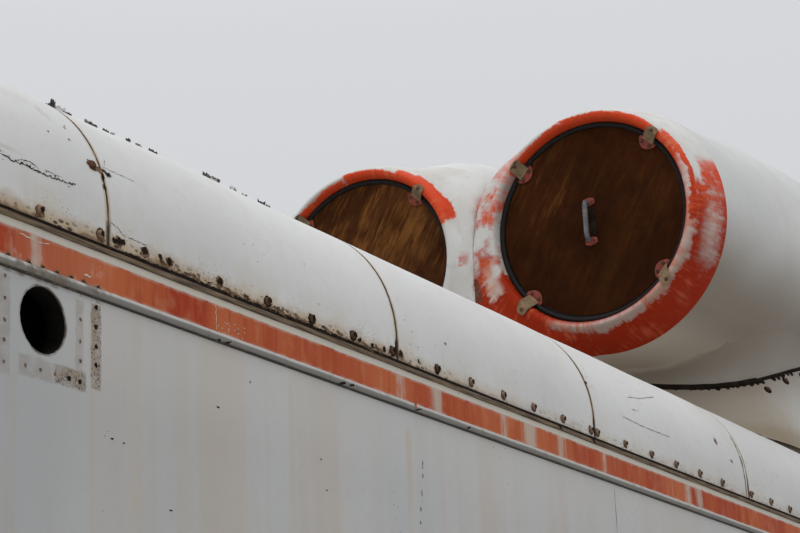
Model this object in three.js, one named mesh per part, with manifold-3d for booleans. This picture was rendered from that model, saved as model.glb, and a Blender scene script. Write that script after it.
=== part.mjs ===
// A hovertrain: a full-size tracked air-cushion research vehicle with three turbofan intakes on its roof.
// Millimetres, +X to the nose, +Y to the left side, +Z up. The origin is on the floor under the middle.
import * as THREE from "three";
import Module from "manifold-3d";
import { mergeVertices } from "three/addons/utils/BufferGeometryUtils.js";

const wasm = await Module();
wasm.setup();

// Driving dimensions of the body.
const NOSE_X = 7750;
const TAIL_X = -7750;
const BODY_FRONT_X = 4300; // the nose shell starts here
const BODY_REAR_X = -6200; // the tail shell starts here
const HALF_WIDTH = 1896;
const SIDE_BOTTOM_Z = 700;
const SEAM_Z = 2905; // the roof edge panels overlap the side walls here
const EDGE_RADIUS = 395; // the round of the roof's long edges
const EDGE_CENTRE_Z = 2968;
const EDGE_TOP_Z = EDGE_CENTRE_Z + EDGE_RADIUS;
const ROOF_CAMBER = 40;
const WALL = 50;
const SKIN = 30;
const GAP = 0.4; // between pieces that touch
const FLAT_Y = HALF_WIDTH - EDGE_RADIUS;

// Roof edge panels: the seams where they butt.
const PANEL_SEAMS = [3869, 2598, 1346, 4, -1267, -2538, -3809, -5080];
const GROOVE = 8;

// Underframe, levitation pads and guidance pads.
const FRAME_X = [-6900, 6300];
const FRAME_HALF_WIDTH = 1500;
const FRAME_Z = [420, 900];
const CHANNEL_HALF_WIDTH = 160; // the slot that straddles the guideway's reaction rail
const CHANNEL_TOP_Z = 820;
const MOTOR_X = [-1600, 1600];
const RAIL_SLOT = 110;
const PAD_X = [[2250, 5850], [-6350, -2750]];
const PAD_Y = [560, 1580];
const LIP_TOP_Z = 110; // the rubber lip that seals the air cushion
const LIP_WIDTH = 70;
const RECESS_Z = 45;
const PAD_TOP_Z = 290;
const STRUT_INSET = 650; // from the pad's ends to its suspension struts
const GUIDE_Y = [1640, 1880, 1955];
const GUIDE_Z = [250, 690];

// Engines: three abreast, each in an oval nacelle that flares behind its round intake.
const ENGINE_PITCH = 1166;
const ENGINE_Z = 4286;
const MIDWAY = ENGINE_PITCH / 2; // the plane on which neighbouring nacelles meet
const COVER_X = -350;
const COVER_FACE_X = -352;
const SEAT_X = -375.6; // seals and covers stand on this face inside the intake
const COVER_RADIUS = 449; // to the outside of the rubber seal
const SEAL_WIDTH = 26;
const COWL_END_X = -520;
const FAIRING_END_X = -5500;
const ENGINES = [["left", ENGINE_PITCH, [-1]], ["center", 0, [-1, 1]], ["right", -ENGINE_PITCH, [1]]];

// The engine deck: a hump on the roof with a raked front and round corners.
// Columns: z, front x, half width, corner radius, rear x.
const DECK = [
  [3200, -500, 1712, 850, -5950],
  [3363, -570, 1700, 850, -5900],
  [3700, -760, 1668, 960, -5660],
  [3800, -830, 1650, 980, -5600],
  [4120, -1050, 1560, 1000, -5350],
];
const DECK_REAR_RADIUS = 300;

// Nacelle sections. Columns: x, half width, height above the axis of the outer and of the middle nacelle, the
// heights above and below the axis between which neighbours meet, and the lip's flare in front of that.
const NACELLE = [
  [-300, 478, 478, 478, -300, 300, 490],
  [-306, 490, 490, 490, -300, 300, 520],
  [-318, 499, 499, 499, -300, 300, 590],
  [-326, 503, 503, 503, -300, 300],
  [-334, 507, 507, 507, -131, 370],
  [-345, 511, 511, 511, 0, 400],
  [-365, 518, 518, 518, 114, 425],
  [-399, 529, 529, 529, 201, 440],
  [-449, 543, 543, 541, 267, 455],
  [-520, 558, 560, 550, 342, 474],
  [-600, 568, 570, 552, 415, 490],
  [-760, 578, 582, 553, 462, 510],
  [-900, 590, 603, 556, 474, 525],
  [-1100, 608, 637, 572, 500, 545],
  [-1400, 632, 668, 620, 545, 560],
  [-1900, 665, 698, 720, 620, 590],
  [-2600, 700, 725, 840, 690, 620],
  [-3300, 715, 735, 900, 712, 630],
  [-4100, 690, 705, 850, 685, 600],
  [-4900, 600, 595, 690, 572, 500],
  [-5500, 430, 430, 440, 330, 300],
];
const FLARE_SPAN = Math.PI / 4; // how far round from the meeting line a nacelle flares towards it

// Nose: columns x, half width, bottom z, roof edge z, roof edge radius, bottom radius, camber.
const NOSE = [
  [4300, 1896, 700, 3363, 395, 60, 40],
  [5200, 1880, 700, 3330, 400, 60, 38],
  [5900, 1790, 690, 2850, 430, 80, 30],
  [6400, 1680, 610, 2330, 430, 100, 25],
  [7000, 1430, 520, 1790, 380, 120, 15],
  [7450, 1110, 500, 1380, 300, 150, 8],
  [7700, 800, 560, 1120, 180, 150, 4],
  [7750, 640, 640, 1010, 120, 120, 0],
];
const NOSE_STATIONS = [4300, 4800, 5200, 5550, 5900, 6150, 6400, 6700, 7000, 7250, 7450, 7600, 7700, 7750];

// Tail: the same columns.
const TAIL = [
  [-6200, 1896, 700, 3363, 395, 60, 40],
  [-6700, 1880, 700, 3280, 395, 60, 36],
  [-7300, 1790, 740, 2960, 380, 90, 28],
  [-7650, 1680, 800, 2700, 340, 130, 20],
  [-7750, 1600, 860, 2600, 300, 160, 14],
];
const TAIL_STATIONS = [-6200, -6700, -7050, -7300, -7500, -7650, -7750];

// Crew door and cab windows.
const DOOR_X = [4450, 5200];
const DOOR_Z = [980, 2760];
const DOOR_GAP = 6;
const HINGE_X = 5194;
const HINGE_Y = 1904;
const HINGE_Z = [1300, 2350];
const KNUCKLE_RADIUS = 12;
const DOOR_CLEAR_Y = 1888;
const CAB_FLOOR_Z = [905, 955];
const LAMP_Y = 760;
const LAMP_Z = 1480;
const LAMP_RADIUS = 105;

const group = new THREE.Group();

function paint(color, roughness = 0.5, metalness = 0.1) {
  return new THREE.MeshStandardMaterial({ color, roughness, metalness });
}
const MATERIALS = {
  white: paint(0xc9c8c3, 0.5),
  lower: paint(0xb9b8b3, 0.55),
  orange: paint(0xb5482c, 0.6),
  rubber: paint(0x141414, 0.8, 0),
  cover: paint(0x3f2414, 0.8, 0),
  steel: paint(0x55534e, 0.5, 0.8),
  frame: paint(0x3b3c3e, 0.6, 0.5),
  pad: paint(0x8d8f90, 0.5, 0.6),
  glass: paint(0x1b2226, 0.05, 0),
  seat: paint(0x2b2d33, 0.9, 0),
  trim: paint(0x4a4c50, 0.7, 0.1),
  lamp: paint(0xd8dcdc, 0.1, 0),
  motor: paint(0x6b6256, 0.5, 0.7),
};

// A closed BufferGeometry as a manifold solid, turned right side out.
function solid(geometry) {
  const bare = geometry.index ? geometry.toNonIndexed() : geometry.clone();
  for (const name of Object.keys(bare.attributes)) if (name !== "position") bare.deleteAttribute(name);
  const merged = mergeVertices(bare, 1e-3);
  const vertProperties = merged.attributes.position.array;
  const triVerts = new Uint32Array(merged.index.array);
  const made = new wasm.Manifold(new wasm.Mesh({ numProp: 3, vertProperties, triVerts }));
  if (made.volume() >= 0) return made;
  for (let i = 0; i < triVerts.length; i += 3) [triVerts[i], triVerts[i + 1]] = [triVerts[i + 1], triVerts[i]];
  return new wasm.Manifold(new wasm.Mesh({ numProp: 3, vertProperties, triVerts }));
}

// A manifold solid as a named mesh in the group.
function add(name, made, material) {
  const m = made.getMesh();
  const positions = new Float32Array(m.numVert * 3);
  for (let i = 0; i < m.numVert; i++) {
    positions.set(m.vertProperties.subarray(i * m.numProp, i * m.numProp + 3), i * 3);
  }
  const geometry = new THREE.BufferGeometry();
  geometry.setAttribute("position", new THREE.BufferAttribute(positions, 3));
  geometry.setIndex(new THREE.BufferAttribute(m.triVerts, 1));
  geometry.computeVertexNormals();
  const mesh = new THREE.Mesh(geometry, material);
  mesh.name = name;
  group.add(mesh);
}

function box(x, y, z) {
  const geometry = new THREE.BoxGeometry(x[1] - x[0], y[1] - y[0], z[1] - z[0]);
  geometry.translate((x[0] + x[1]) / 2, (y[0] + y[1]) / 2, (z[0] + z[1]) / 2);
  return solid(geometry);
}

function outline(points) {
  return new THREE.Shape(points.map(([a, b]) => new THREE.Vector2(a, b)));
}

// A [y, z] outline pulled along X.
function alongX(points, x) {
  const geometry = new THREE.ExtrudeGeometry(outline(points), { depth: x[1] - x[0], bevelEnabled: false });
  geometry.applyMatrix4(new THREE.Matrix4().set(0, 0, 1, x[0], 1, 0, 0, 0, 0, 1, 0, 0, 0, 0, 0, 1));
  return solid(geometry);
}

// An [x, z] outline pulled along Y.
function alongY(points, y) {
  const geometry = new THREE.ExtrudeGeometry(outline(points), { depth: y[1] - y[0], bevelEnabled: false });
  geometry.applyMatrix4(new THREE.Matrix4().set(1, 0, 0, 0, 0, 0, -1, y[1], 0, 1, 0, 0, 0, 0, 0, 1));
  return solid(geometry);
}

// A closed body through rings of equally many [x, y, z] points.
function loft(rings) {
  const n = rings[0].length;
  const positions = rings.flat(2);
  const index = [];
  for (let r = 0; r + 1 < rings.length; r++) {
    for (let i = 0; i < n; i++) {
      const a = r * n + i;
      const b = r * n + ((i + 1) % n);
      index.push(a, b, a + n, b, b + n, a + n);
    }
  }
  for (const [start, forwards] of [[0, false], [(rings.length - 1) * n, true]]) {
    const ring = rings[start / n];
    const level = ring.every((p) => p[2] === ring[0][2]);
    const flat = ring.map((p) => (level ? new THREE.Vector2(p[0], p[1]) : new THREE.Vector2(p[1], p[2])));
    const ringArea = THREE.ShapeUtils.area(flat);
    for (const [a, b, c] of THREE.ShapeUtils.triangulateShape(flat, [])) {
      const along = THREE.ShapeUtils.area([flat[a], flat[b], flat[c]]) * ringArea > 0;
      if (along === forwards) index.push(start + a, start + b, start + c);
      else index.push(start + a, start + c, start + b);
    }
  }
  const geometry = new THREE.BufferGeometry();
  geometry.setAttribute("position", new THREE.BufferAttribute(new Float32Array(positions), 3));
  geometry.setIndex(index);
  return solid(geometry);
}

// A body of revolution about an axis along X at [y, z]. Profile points are [x, radius].
const ROUND_STEPS = 36;
function turned(profile, y, z) {
  const geometry = new THREE.LatheGeometry(profile.map(([x, r]) => new THREE.Vector2(r, x)), ROUND_STEPS);
  geometry.applyMatrix4(new THREE.Matrix4().set(0, 1, 0, 0, 0, 0, 1, y, 1, 0, 0, z, 0, 0, 0, 1));
  return solid(geometry);
}

// One column of a table at x, on a smooth curve that doesn't overshoot between rows.
function smooth(table, column, x) {
  const rows = [...table].sort((a, b) => a[0] - b[0]);
  const last = rows.length - 1;
  const slope = (i) => (rows[i + 1][column] - rows[i][column]) / (rows[i + 1][0] - rows[i][0]);
  const tangent = (i) => {
    if (i === 0) return slope(0);
    if (i === last) return slope(last - 1);
    const before = slope(i - 1);
    const after = slope(i);
    return before * after <= 0 ? 0 : (2 * before * after) / (before + after);
  };
  let i = 0;
  while (i < last - 1 && x > rows[i + 1][0]) i++;
  const width = rows[i + 1][0] - rows[i][0];
  const t = (x - rows[i][0]) / width;
  const a = rows[i][column];
  const b = rows[i + 1][column];
  return (
    a * (1 + 2 * t) * (1 - t) ** 2 +
    tangent(i) * width * t * (1 - t) ** 2 +
    b * t * t * (3 - 2 * t) +
    tangent(i + 1) * width * t * t * (t - 1)
  );
}

// A body section at x: a box with round corners and a cambered top, drawn inset by a wall.
function bodyRing(x, halfWidth, bottom, top, topRadius, bottomRadius, camber, inset) {
  const corners = [
    [1, 1, topRadius, 7],
    [-1, 1, topRadius, 7],
    [-1, -1, bottomRadius, 3],
    [1, -1, bottomRadius, 3],
  ];
  const ring = [];
  corners.forEach(([sy, sz, radius, steps], quarter) => {
    const edge = sz > 0 ? top - inset : bottom + inset;
    const r = Math.max(radius - inset, 10);
    for (let i = 0; i <= steps; i++) {
      const angle = ((quarter + i / steps) * Math.PI) / 2;
      const y = sy * (halfWidth - inset - r) + r * Math.cos(angle);
      ring.push([x, y, edge - sz * r + r * Math.sin(angle)]);
    }
    if (quarter === 0) ring.push([x, 0, top + camber - inset]);
  });
  return ring;
}

function body(table, stations, inset = 0, ends = 0) {
  const shift = [ends, ...stations.slice(2).map(() => 0), -inset];
  return loft(
    stations.map((x, i) => {
      const at = (column) => smooth(table, column, x);
      const along = x + (x > 0 ? shift[i] : -shift[i]);
      return bodyRing(along, at(1), at(2), at(3), at(4), at(5), at(6), inset);
    }),
  );
}

// Side walls, with the round hole that a missing fitting has left in the left one.
const HOLE_X = 4090;
const HOLE_Z = 2680;
const HOLE_RADIUS = 75;
for (const [side, sign] of [["left", 1], ["right", -1]]) {
  const y = [sign * HALF_WIDTH, sign * (HALF_WIDTH - WALL)].sort((a, b) => a - b);
  let wall = box([BODY_REAR_X + GAP, BODY_FRONT_X - GAP], y, [SIDE_BOTTOM_Z, SEAM_Z - GAP]);
  if (side === "left") {
    const bore = new THREE.CylinderGeometry(HOLE_RADIUS, HOLE_RADIUS, 3 * WALL, 24);
    bore.translate(HOLE_X, HALF_WIDTH - WALL, HOLE_Z);
    wall = wall.subtract(solid(bore));
  }
  add(`side_wall_${side}`, wall, MATERIALS.lower);
}

// Roof edge panels: an upright flange, then a quarter round, with a groove at each panel seam.
function edgeOutline(outer, sign) {
  const points = [[sign * (HALF_WIDTH - (outer ? 0 : SKIN)), SEAM_Z]];
  const radius = EDGE_RADIUS - (outer ? 0 : SKIN);
  for (let i = 0; i <= 8; i++) {
    const angle = (i * Math.PI) / 16;
    points.push([sign * (FLAT_Y + radius * Math.cos(angle)), EDGE_CENTRE_Z + radius * Math.sin(angle)]);
  }
  return points;
}
function groovedRoof(sign) {
  const shell = [...edgeOutline(true, sign), ...edgeOutline(false, sign).reverse()];
  let panel = alongX(shell, [BODY_REAR_X + GAP, BODY_FRONT_X - GAP]);
  const outer = edgeOutline(true, sign);
  const inner = outer.map(([y, z]) => {
    const fromCentre = Math.hypot(y - sign * FLAT_Y, Math.max(z - EDGE_CENTRE_Z, 0)) || 1;
    const k = (fromCentre - GROOVE) / fromCentre;
    const moved = z > EDGE_CENTRE_Z ? EDGE_CENTRE_Z + (z - EDGE_CENTRE_Z) * k : z;
    return [sign * FLAT_Y + (y - sign * FLAT_Y) * k, moved];
  });
  const clear = outer.map(([y, z]) => [y + sign * 20, z > EDGE_CENTRE_Z ? z + 20 : z]);
  clear[0][1] -= 5;
  inner[0][1] -= 5;
  const cutter = [...clear, ...inner.reverse()];
  for (const x of PANEL_SEAMS) panel = panel.subtract(alongX(cutter, [x - GROOVE / 2, x + GROOVE / 2]));
  return panel;
}
add("roof_edge_left", groovedRoof(1), MATERIALS.white);
add("roof_edge_right", groovedRoof(-1), MATERIALS.white);

// Centre of the roof.
const roofTop = [
  [-FLAT_Y + GAP, EDGE_TOP_Z],
  [-FLAT_Y / 2, EDGE_TOP_Z + 0.75 * ROOF_CAMBER],
  [0, EDGE_TOP_Z + ROOF_CAMBER],
  [FLAT_Y / 2, EDGE_TOP_Z + 0.75 * ROOF_CAMBER],
  [FLAT_Y - GAP, EDGE_TOP_Z],
];
const roofUnder = [...roofTop].reverse().map(([y, z]) => [y, z - SKIN]);
const roofX = [BODY_REAR_X + GAP, BODY_FRONT_X - GAP];
add("roof_center", alongX([...roofTop, ...roofUnder], roofX), MATERIALS.white);

// Nose shell with its windows and doorways cut, open below over the underframe.
const noseOuter = body(NOSE, NOSE_STATIONS);
const noseInner = body(NOSE, NOSE_STATIONS, WALL, -1);
let noseShell = noseOuter.subtract(noseInner);
noseShell = noseShell.subtract(box([4200, FRAME_X[1] + 60], [-1560, 1560], [0, CAB_FLOOR_Z[0]]));

const mirrorY = (points) => points.map(([y, z]) => [-y, z]).reverse();
const shrink = (points, by) => {
  const cx = points.reduce((sum, p) => sum + p[0], 0) / points.length;
  const cz = points.reduce((sum, p) => sum + p[1], 0) / points.length;
  return points.map(([a, b]) => {
    const reach = Math.hypot(a - cx, b - cz);
    return [cx + (a - cx) * (1 - by / reach), cz + (b - cz) * (1 - by / reach)];
  });
};
const WINDSCREEN = [[60, 2440], [1180, 2440], [1290, 2520], [1240, 2960], [1130, 3060], [60, 3100]];
const SIDE_WINDOW = [[5330, 2230], [6030, 2210], [5980, 2330], [5640, 2680], [5540, 2740], [5330, 2760]];
const DOOR_WINDOW = [
  [4610, 2120],
  [5040, 2120],
  [5080, 2160],
  [5080, 2560],
  [5040, 2600],
  [4610, 2600],
  [4570, 2560],
  [4570, 2160],
];
const DOOR_OUTLINE = [
  [DOOR_X[0], DOOR_Z[0]],
  [DOOR_X[1], DOOR_Z[0]],
  [DOOR_X[1], DOOR_Z[1] - 80],
  [DOOR_X[1] - 80, DOOR_Z[1]],
  [DOOR_X[0] + 80, DOOR_Z[1]],
  [DOOR_X[0], DOOR_Z[1] - 80],
];
const glassShell = body(NOSE, NOSE_STATIONS, 12, -1).subtract(body(NOSE, NOSE_STATIONS, 24, -2));
const GLASS_CLEARANCE = 1;
for (const [side, sign] of [["left", 1], ["right", -1]]) {
  const across = [sign * 1000, sign * 2100].sort((a, b) => a - b);
  const hand = (points) => (sign > 0 ? points : mirrorY(points));
  noseShell = noseShell.subtract(alongX(hand(WINDSCREEN), [5000, 6900]));
  noseShell = noseShell.subtract(alongY(SIDE_WINDOW, across));
  noseShell = noseShell.subtract(alongY(DOOR_OUTLINE, across));
  const screen = alongX(shrink(hand(WINDSCREEN), GLASS_CLEARANCE), [5000, 6900]);
  add(`windscreen_${side}`, glassShell.intersect(screen), MATERIALS.glass);
  const pane = alongY(shrink(SIDE_WINDOW, GLASS_CLEARANCE), across);
  add(`side_window_${side}`, glassShell.intersect(pane), MATERIALS.glass);

  // The crew door: the same wall inside its gap, on two strap hinges at its front edge.
  const leaf = DOOR_OUTLINE.map(([x, z]) => [
    x + (x < (DOOR_X[0] + DOOR_X[1]) / 2 ? DOOR_GAP : -DOOR_GAP),
    z + (z < DOOR_Z[0] + 1 ? DOOR_GAP : -DOOR_GAP),
  ]);
  let door = noseOuter.subtract(noseInner).intersect(alongY(leaf, across));
  door = door.subtract(alongY(DOOR_WINDOW, across));
  const out = (a, b) => [sign * a, sign * b].sort((p, q) => p - q);
  const knuckle = (z) => {
    const barrel = new THREE.CylinderGeometry(KNUCKLE_RADIUS, KNUCKLE_RADIUS, z[1] - z[0], 12);
    barrel.rotateX(Math.PI / 2);
    barrel.translate(HINGE_X, sign * HINGE_Y, (z[0] + z[1]) / 2);
    return solid(barrel);
  };
  for (const z of HINGE_Z) {
    const strap = box([HINGE_X - 100, HINGE_X], out(1870, HINGE_Y + 6), [z - 25, z + 25]);
    door = door.add(strap).add(knuckle([z - 60, z + 60]));
    for (const part of [[z + 60 + GAP, z + 100], [z - 100, z - 60 - GAP]]) {
      const plate = box([HINGE_X, HINGE_X + 60], out(DOOR_CLEAR_Y, HINGE_Y + 4), part);
      const foot = box([HINGE_X + 12, HINGE_X + 60], out(1850, DOOR_CLEAR_Y + 4), part);
      noseShell = noseShell.add(plate).add(foot).add(knuckle(part));
    }
  }
  add(`crew_door_${side}`, door, MATERIALS.white);
  const doorPane = alongY(shrink(DOOR_WINDOW, GLASS_CLEARANCE), across);
  add(`door_window_${side}`, glassShell.intersect(doorPane), MATERIALS.glass);
}
for (const [side, sign] of [["left", 1], ["right", -1]]) {
  const lamp = (radius) => {
    const bore = new THREE.CylinderGeometry(radius, radius, 1800, 24);
    bore.rotateZ(Math.PI / 2);
    bore.translate(6900, sign * LAMP_Y, LAMP_Z);
    return solid(bore);
  };
  noseShell = noseShell.subtract(lamp(LAMP_RADIUS));
  add(`headlamp_${side}`, glassShell.intersect(lamp(LAMP_RADIUS - GLASS_CLEARANCE)), MATERIALS.lamp);
}
add("nose_shell", noseShell, MATERIALS.white);

// Cab inside: floor, rear bulkhead, console and two seats.
const cabin = body(NOSE, NOSE_STATIONS, WALL + GAP, -1);
add("cab_floor", cabin.intersect(box([BODY_FRONT_X + 10, 7000], [-1900, 1900], CAB_FLOOR_Z)), MATERIALS.trim);
const bulkhead = box([BODY_FRONT_X + 10, BODY_FRONT_X + 50], [-1900, 1900], [CAB_FLOOR_Z[1] + GAP, 3500]);
add("cab_bulkhead", cabin.intersect(bulkhead), MATERIALS.trim);
const CONSOLE_FOOT_Z = CAB_FLOOR_Z[1] + GAP;
const CONSOLE = [[6080, CONSOLE_FOOT_Z], [6560, CONSOLE_FOOT_Z], [6560, 1700], [6260, 1760], [6080, 1640]];
add("console", cabin.intersect(alongY(CONSOLE, [-1150, 1150])), MATERIALS.trim);
const SEAT = [
  [5180, 1380],
  [5240, CAB_FLOOR_Z[1] + GAP],
  [5560, CAB_FLOOR_Z[1] + GAP],
  [5560, 1330],
  [5720, 1370],
  [5720, 1470],
  [5300, 1450],
  [5200, 2120],
  [5080, 2100],
];
for (const [side, y] of [["left", 560], ["right", -560]]) {
  add(`seat_${side}`, alongY(SEAT, [y - 260, y + 260]), MATERIALS.seat);
}

// Tail shell, solid, cut away over the underframe.
const tail = body(TAIL, TAIL_STATIONS);
const overFrame = box([FRAME_X[0] - 20, BODY_REAR_X + 50], [-1560, 1560], [0, CAB_FLOOR_Z[0]]);
add("tail_shell", tail.subtract(overFrame), MATERIALS.white);

// Underframe: two deep girders joined over the rail channel, with jacking pads and tow brackets.
const w = FRAME_HALF_WIDTH;
const c = CHANNEL_HALF_WIDTH;
const [frameLow, frameHigh] = FRAME_Z;
const FRAME_OUTLINE = [
  [-w, frameLow],
  [-c, frameLow],
  [-c, CHANNEL_TOP_Z],
  [c, CHANNEL_TOP_Z],
  [c, frameLow],
  [w, frameLow],
  [w, frameHigh],
  [-w, frameHigh],
];
let underframe = alongX(FRAME_OUTLINE, FRAME_X);
for (const x of [1400, -1900]) {
  for (const y of [-1250, 1250]) {
    underframe = underframe.add(box([x - 120, x + 120], [y - 120, y + 120], [frameLow - 60, frameLow + 10]));
  }
}
for (const x of [-5200, -2200, 700, 3600]) {
  for (const sign of [-1, 1]) {
    const y = [sign * (w - 10), sign * (HALF_WIDTH - WALL - GAP)].sort((a, b) => a - b);
    underframe = underframe.add(box([x - 90, x + 90], y, [720, 880]));
  }
}
add("underframe", underframe, MATERIALS.frame);

// Linear motor: two stators that hang in the channel, one each side of the reaction rail, tied above it.
const STATOR_OUTLINE = [
  [-150, 340],
  [-RAIL_SLOT / 2, 340],
  [-RAIL_SLOT / 2, 770],
  [RAIL_SLOT / 2, 770],
  [RAIL_SLOT / 2, 340],
  [150, 340],
  [150, CHANNEL_TOP_Z - GAP],
  [-150, CHANNEL_TOP_Z - GAP],
];
add("linear_motor", alongX(STATOR_OUTLINE, MOTOR_X), MATERIALS.motor);

// Levitation and guidance pads on their suspension struts.
const ENDS = ["front", "rear"];
for (const [end, x] of ENDS.map((name, i) => [name, PAD_X[i]])) {
  for (const [side, sign] of [["left", 1], ["right", -1]]) {
    const span = (a, b) => [sign * a, sign * b].sort((p, q) => p - q);
    const [inner, outer] = PAD_Y;
    const lip = box(x, span(inner, outer), [0, LIP_TOP_Z]);
    const within = span(inner + LIP_WIDTH, outer - LIP_WIDTH);
    const recess = box([x[0] + LIP_WIDTH, x[1] - LIP_WIDTH], within, [-10, RECESS_Z]);
    const platform = box([x[0] - 20, x[1] + 20], span(inner - 15, outer + 15), [LIP_TOP_Z - 1, PAD_TOP_Z]);
    let pad = platform.add(lip).subtract(recess);
    for (const along of [x[0] + STRUT_INSET, x[1] - STRUT_INSET]) {
      const strut = new THREE.CylinderGeometry(170, 190, FRAME_Z[0] - GAP - PAD_TOP_Z + 10, 20);
      strut.rotateX(Math.PI / 2);
      strut.translate(along, (sign * (inner + outer)) / 2, (FRAME_Z[0] - GAP + PAD_TOP_Z - 10) / 2);
      pad = pad.add(solid(strut));
    }
    add(`levitation_pad_${end}_${side}`, pad, MATERIALS.pad);
    const [back, face, shoe] = GUIDE_Y;
    let guide = box([x[0] + 100, x[1] - 100], span(back, face), GUIDE_Z);
    guide = guide.add(box([x[0] + 160, x[1] - 160], span(face - 1, shoe), [GUIDE_Z[0] + 50, GUIDE_Z[1] - 50]));
    for (const along of [x[0] + STRUT_INSET, x[1] - STRUT_INSET]) {
      guide = guide.add(box([along - 90, along + 90], span(FRAME_HALF_WIDTH + GAP, back + 1), [500, 640]));
    }
    add(`guidance_pad_${end}_${side}`, guide, MATERIALS.pad);
  }
}

// Distance from an engine's axis to its nacelle's surface, at an angle up from the level: on a plain side, and on
// a side that flares towards its neighbour.
function oval([, halfWidth], high, angle) {
  return 1 / Math.hypot(Math.cos(angle) / halfWidth, Math.sin(angle) / (angle > 0 ? high : halfWidth));
}
const QUARTER = Math.PI / 2;
function flared(row, high, angle) {
  const [, , , , above, below, flare] = row;
  const upper = Math.atan2(above, MIDWAY);
  const lower = -Math.atan2(below, MIDWAY);
  if (!flare && angle >= lower && angle <= upper) return MIDWAY / Math.cos(angle);
  const edge = angle > upper ? upper : lower;
  const most = flare ?? MIDWAY / Math.cos(edge);
  const t = Math.min(Math.abs(angle - edge) / Math.min(FLARE_SPAN, QUARTER - Math.abs(edge)), 1);
  return oval(row, high, angle) + (most - oval(row, high, edge)) * (1 - t * t * (3 - 2 * t));
}

// Fairing behind the cowls: three lobes that merge.
const SIDE_STEPS = 20; // round each outboard side
const TOP_STEPS = 8; // from each crown to the meeting line
const UNDER_STEPS = 4;
function fairingRing(row, grow) {
  const [x, , outer, middle, above, below] = row;
  const upper = Math.atan2(above, MIDWAY);
  const lower = -Math.atan2(below, MIDWAY);
  const ring = [];
  const arc = (axisY, side, from, to, steps, shape) => {
    for (let i = 0; i < steps; i++) {
      const angle = from + ((to - from) * i) / steps;
      const r = shape(row, axisY ? outer : middle, angle) + grow;
      const onCrease = angle === upper || angle === lower;
      const across = onCrease ? MIDWAY : r * Math.cos(angle);
      ring.push([x, axisY + side * across, ENGINE_Z + (onCrease ? r + grow : r) * Math.sin(angle)]);
    }
  };
  arc(ENGINE_PITCH, 1, -QUARTER, QUARTER, SIDE_STEPS, oval);
  arc(ENGINE_PITCH, -1, QUARTER, upper, TOP_STEPS, flared);
  arc(0, 1, upper, QUARTER, TOP_STEPS, flared);
  arc(0, -1, QUARTER, upper, TOP_STEPS, flared);
  arc(-ENGINE_PITCH, 1, upper, QUARTER, TOP_STEPS, flared);
  arc(-ENGINE_PITCH, -1, QUARTER, -QUARTER, SIDE_STEPS, oval);
  arc(-ENGINE_PITCH, 1, -QUARTER, lower, UNDER_STEPS, flared);
  arc(0, -1, lower, -QUARTER, UNDER_STEPS, flared);
  arc(0, 1, -QUARTER, lower, UNDER_STEPS, flared);
  arc(ENGINE_PITCH, -1, lower, -QUARTER, UNDER_STEPS, flared);
  return ring;
}
const fairing = (grow) => loft(NACELLE.filter(([x]) => x <= COWL_END_X).map((row) => fairingRing(row, grow)));
add("engine_fairing", fairing(0), MATERIALS.white);

// Engine deck under the nacelles, shaped over the roof below and round the nacelles above.
function deckRing([z, front, halfWidth, radius, rear]) {
  const ring = [];
  const back = DECK_REAR_RADIUS;
  const corners = [
    [front - radius, halfWidth - radius, radius],
    [rear + back, halfWidth - back, back],
    [rear + back, back - halfWidth, back],
    [front - radius, radius - halfWidth, radius],
  ];
  for (const [quarter, [cx, cy, r]] of corners.entries()) {
    for (let i = 0; i <= 6; i++) {
      const angle = ((quarter + i / 6) * Math.PI) / 2;
      ring.push([cx + r * Math.cos(angle), cy + r * Math.sin(angle), z]);
    }
  }
  return ring;
}
const roofBlock = [
  ...edgeOutline(true, -1).map(([y, z]) => [y - GAP, z + GAP]),
  ...roofTop.map(([y, z]) => [y, z + GAP]),
  ...edgeOutline(true, 1).reverse().map(([y, z]) => [y + GAP, z + GAP]),
];
const deck = loft(DECK.map(deckRing))
  .subtract(alongX(roofBlock, [BODY_REAR_X - 1, BODY_FRONT_X]))
  .subtract(fairing(GAP));
const pieces = deck.decompose().sort((a, b) => b.volume() - a.volume());
add("engine_deck", pieces[0], MATERIALS.white);

// Intake cowls, seals, covers and exhaust nozzles.
const INNER_LIP = [[-303, 468], [-312, 459], [-330, 454], [-376, 450]];
function cowl(axisY, neighbours) {
  const rings = [];
  const ringAt = (x, radiusAt) => {
    const ring = [];
    for (let i = 0; i < ROUND_STEPS; i++) {
      const angle = (2 * Math.PI * i) / ROUND_STEPS;
      const r = radiusAt(angle);
      ring.push([x, axisY + r * Math.cos(angle), ENGINE_Z + r * Math.sin(angle)]);
    }
    rings.push(ring);
  };
  for (const row of NACELLE.filter(([x]) => x >= COWL_END_X).reverse()) {
    const high = axisY ? row[2] : row[3];
    ringAt(row[0] === COWL_END_X ? COWL_END_X + GAP : row[0], (angle) => {
      const side = Math.sign(Math.cos(angle)) || 1;
      const up = Math.atan2(Math.sin(angle), Math.abs(Math.cos(angle)));
      if (!neighbours.includes(side)) return oval(row, high, up);
      return Math.min(flared(row, high, up), (MIDWAY - GAP / 2) / Math.cos(up));
    });
  }
  for (const [x, r] of INNER_LIP) ringAt(x, () => r);
  return loft(rings);
}
const SEAL = [
  [SEAT_X, COVER_RADIUS - SEAL_WIDTH],
  [SEAT_X, COVER_RADIUS],
  [COVER_X, COVER_RADIUS - 4],
  [COVER_X + 6, COVER_RADIUS - SEAL_WIDTH / 2],
  [COVER_X, COVER_RADIUS - SEAL_WIDTH],
  [SEAT_X, COVER_RADIUS - SEAL_WIDTH],
];
const DISC_RADIUS = COVER_RADIUS - SEAL_WIDTH - 0.6;
const COVER_DISC = [[SEAT_X, 0], [SEAT_X, DISC_RADIUS], [COVER_FACE_X, DISC_RADIUS], [COVER_FACE_X, 0]];
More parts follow.
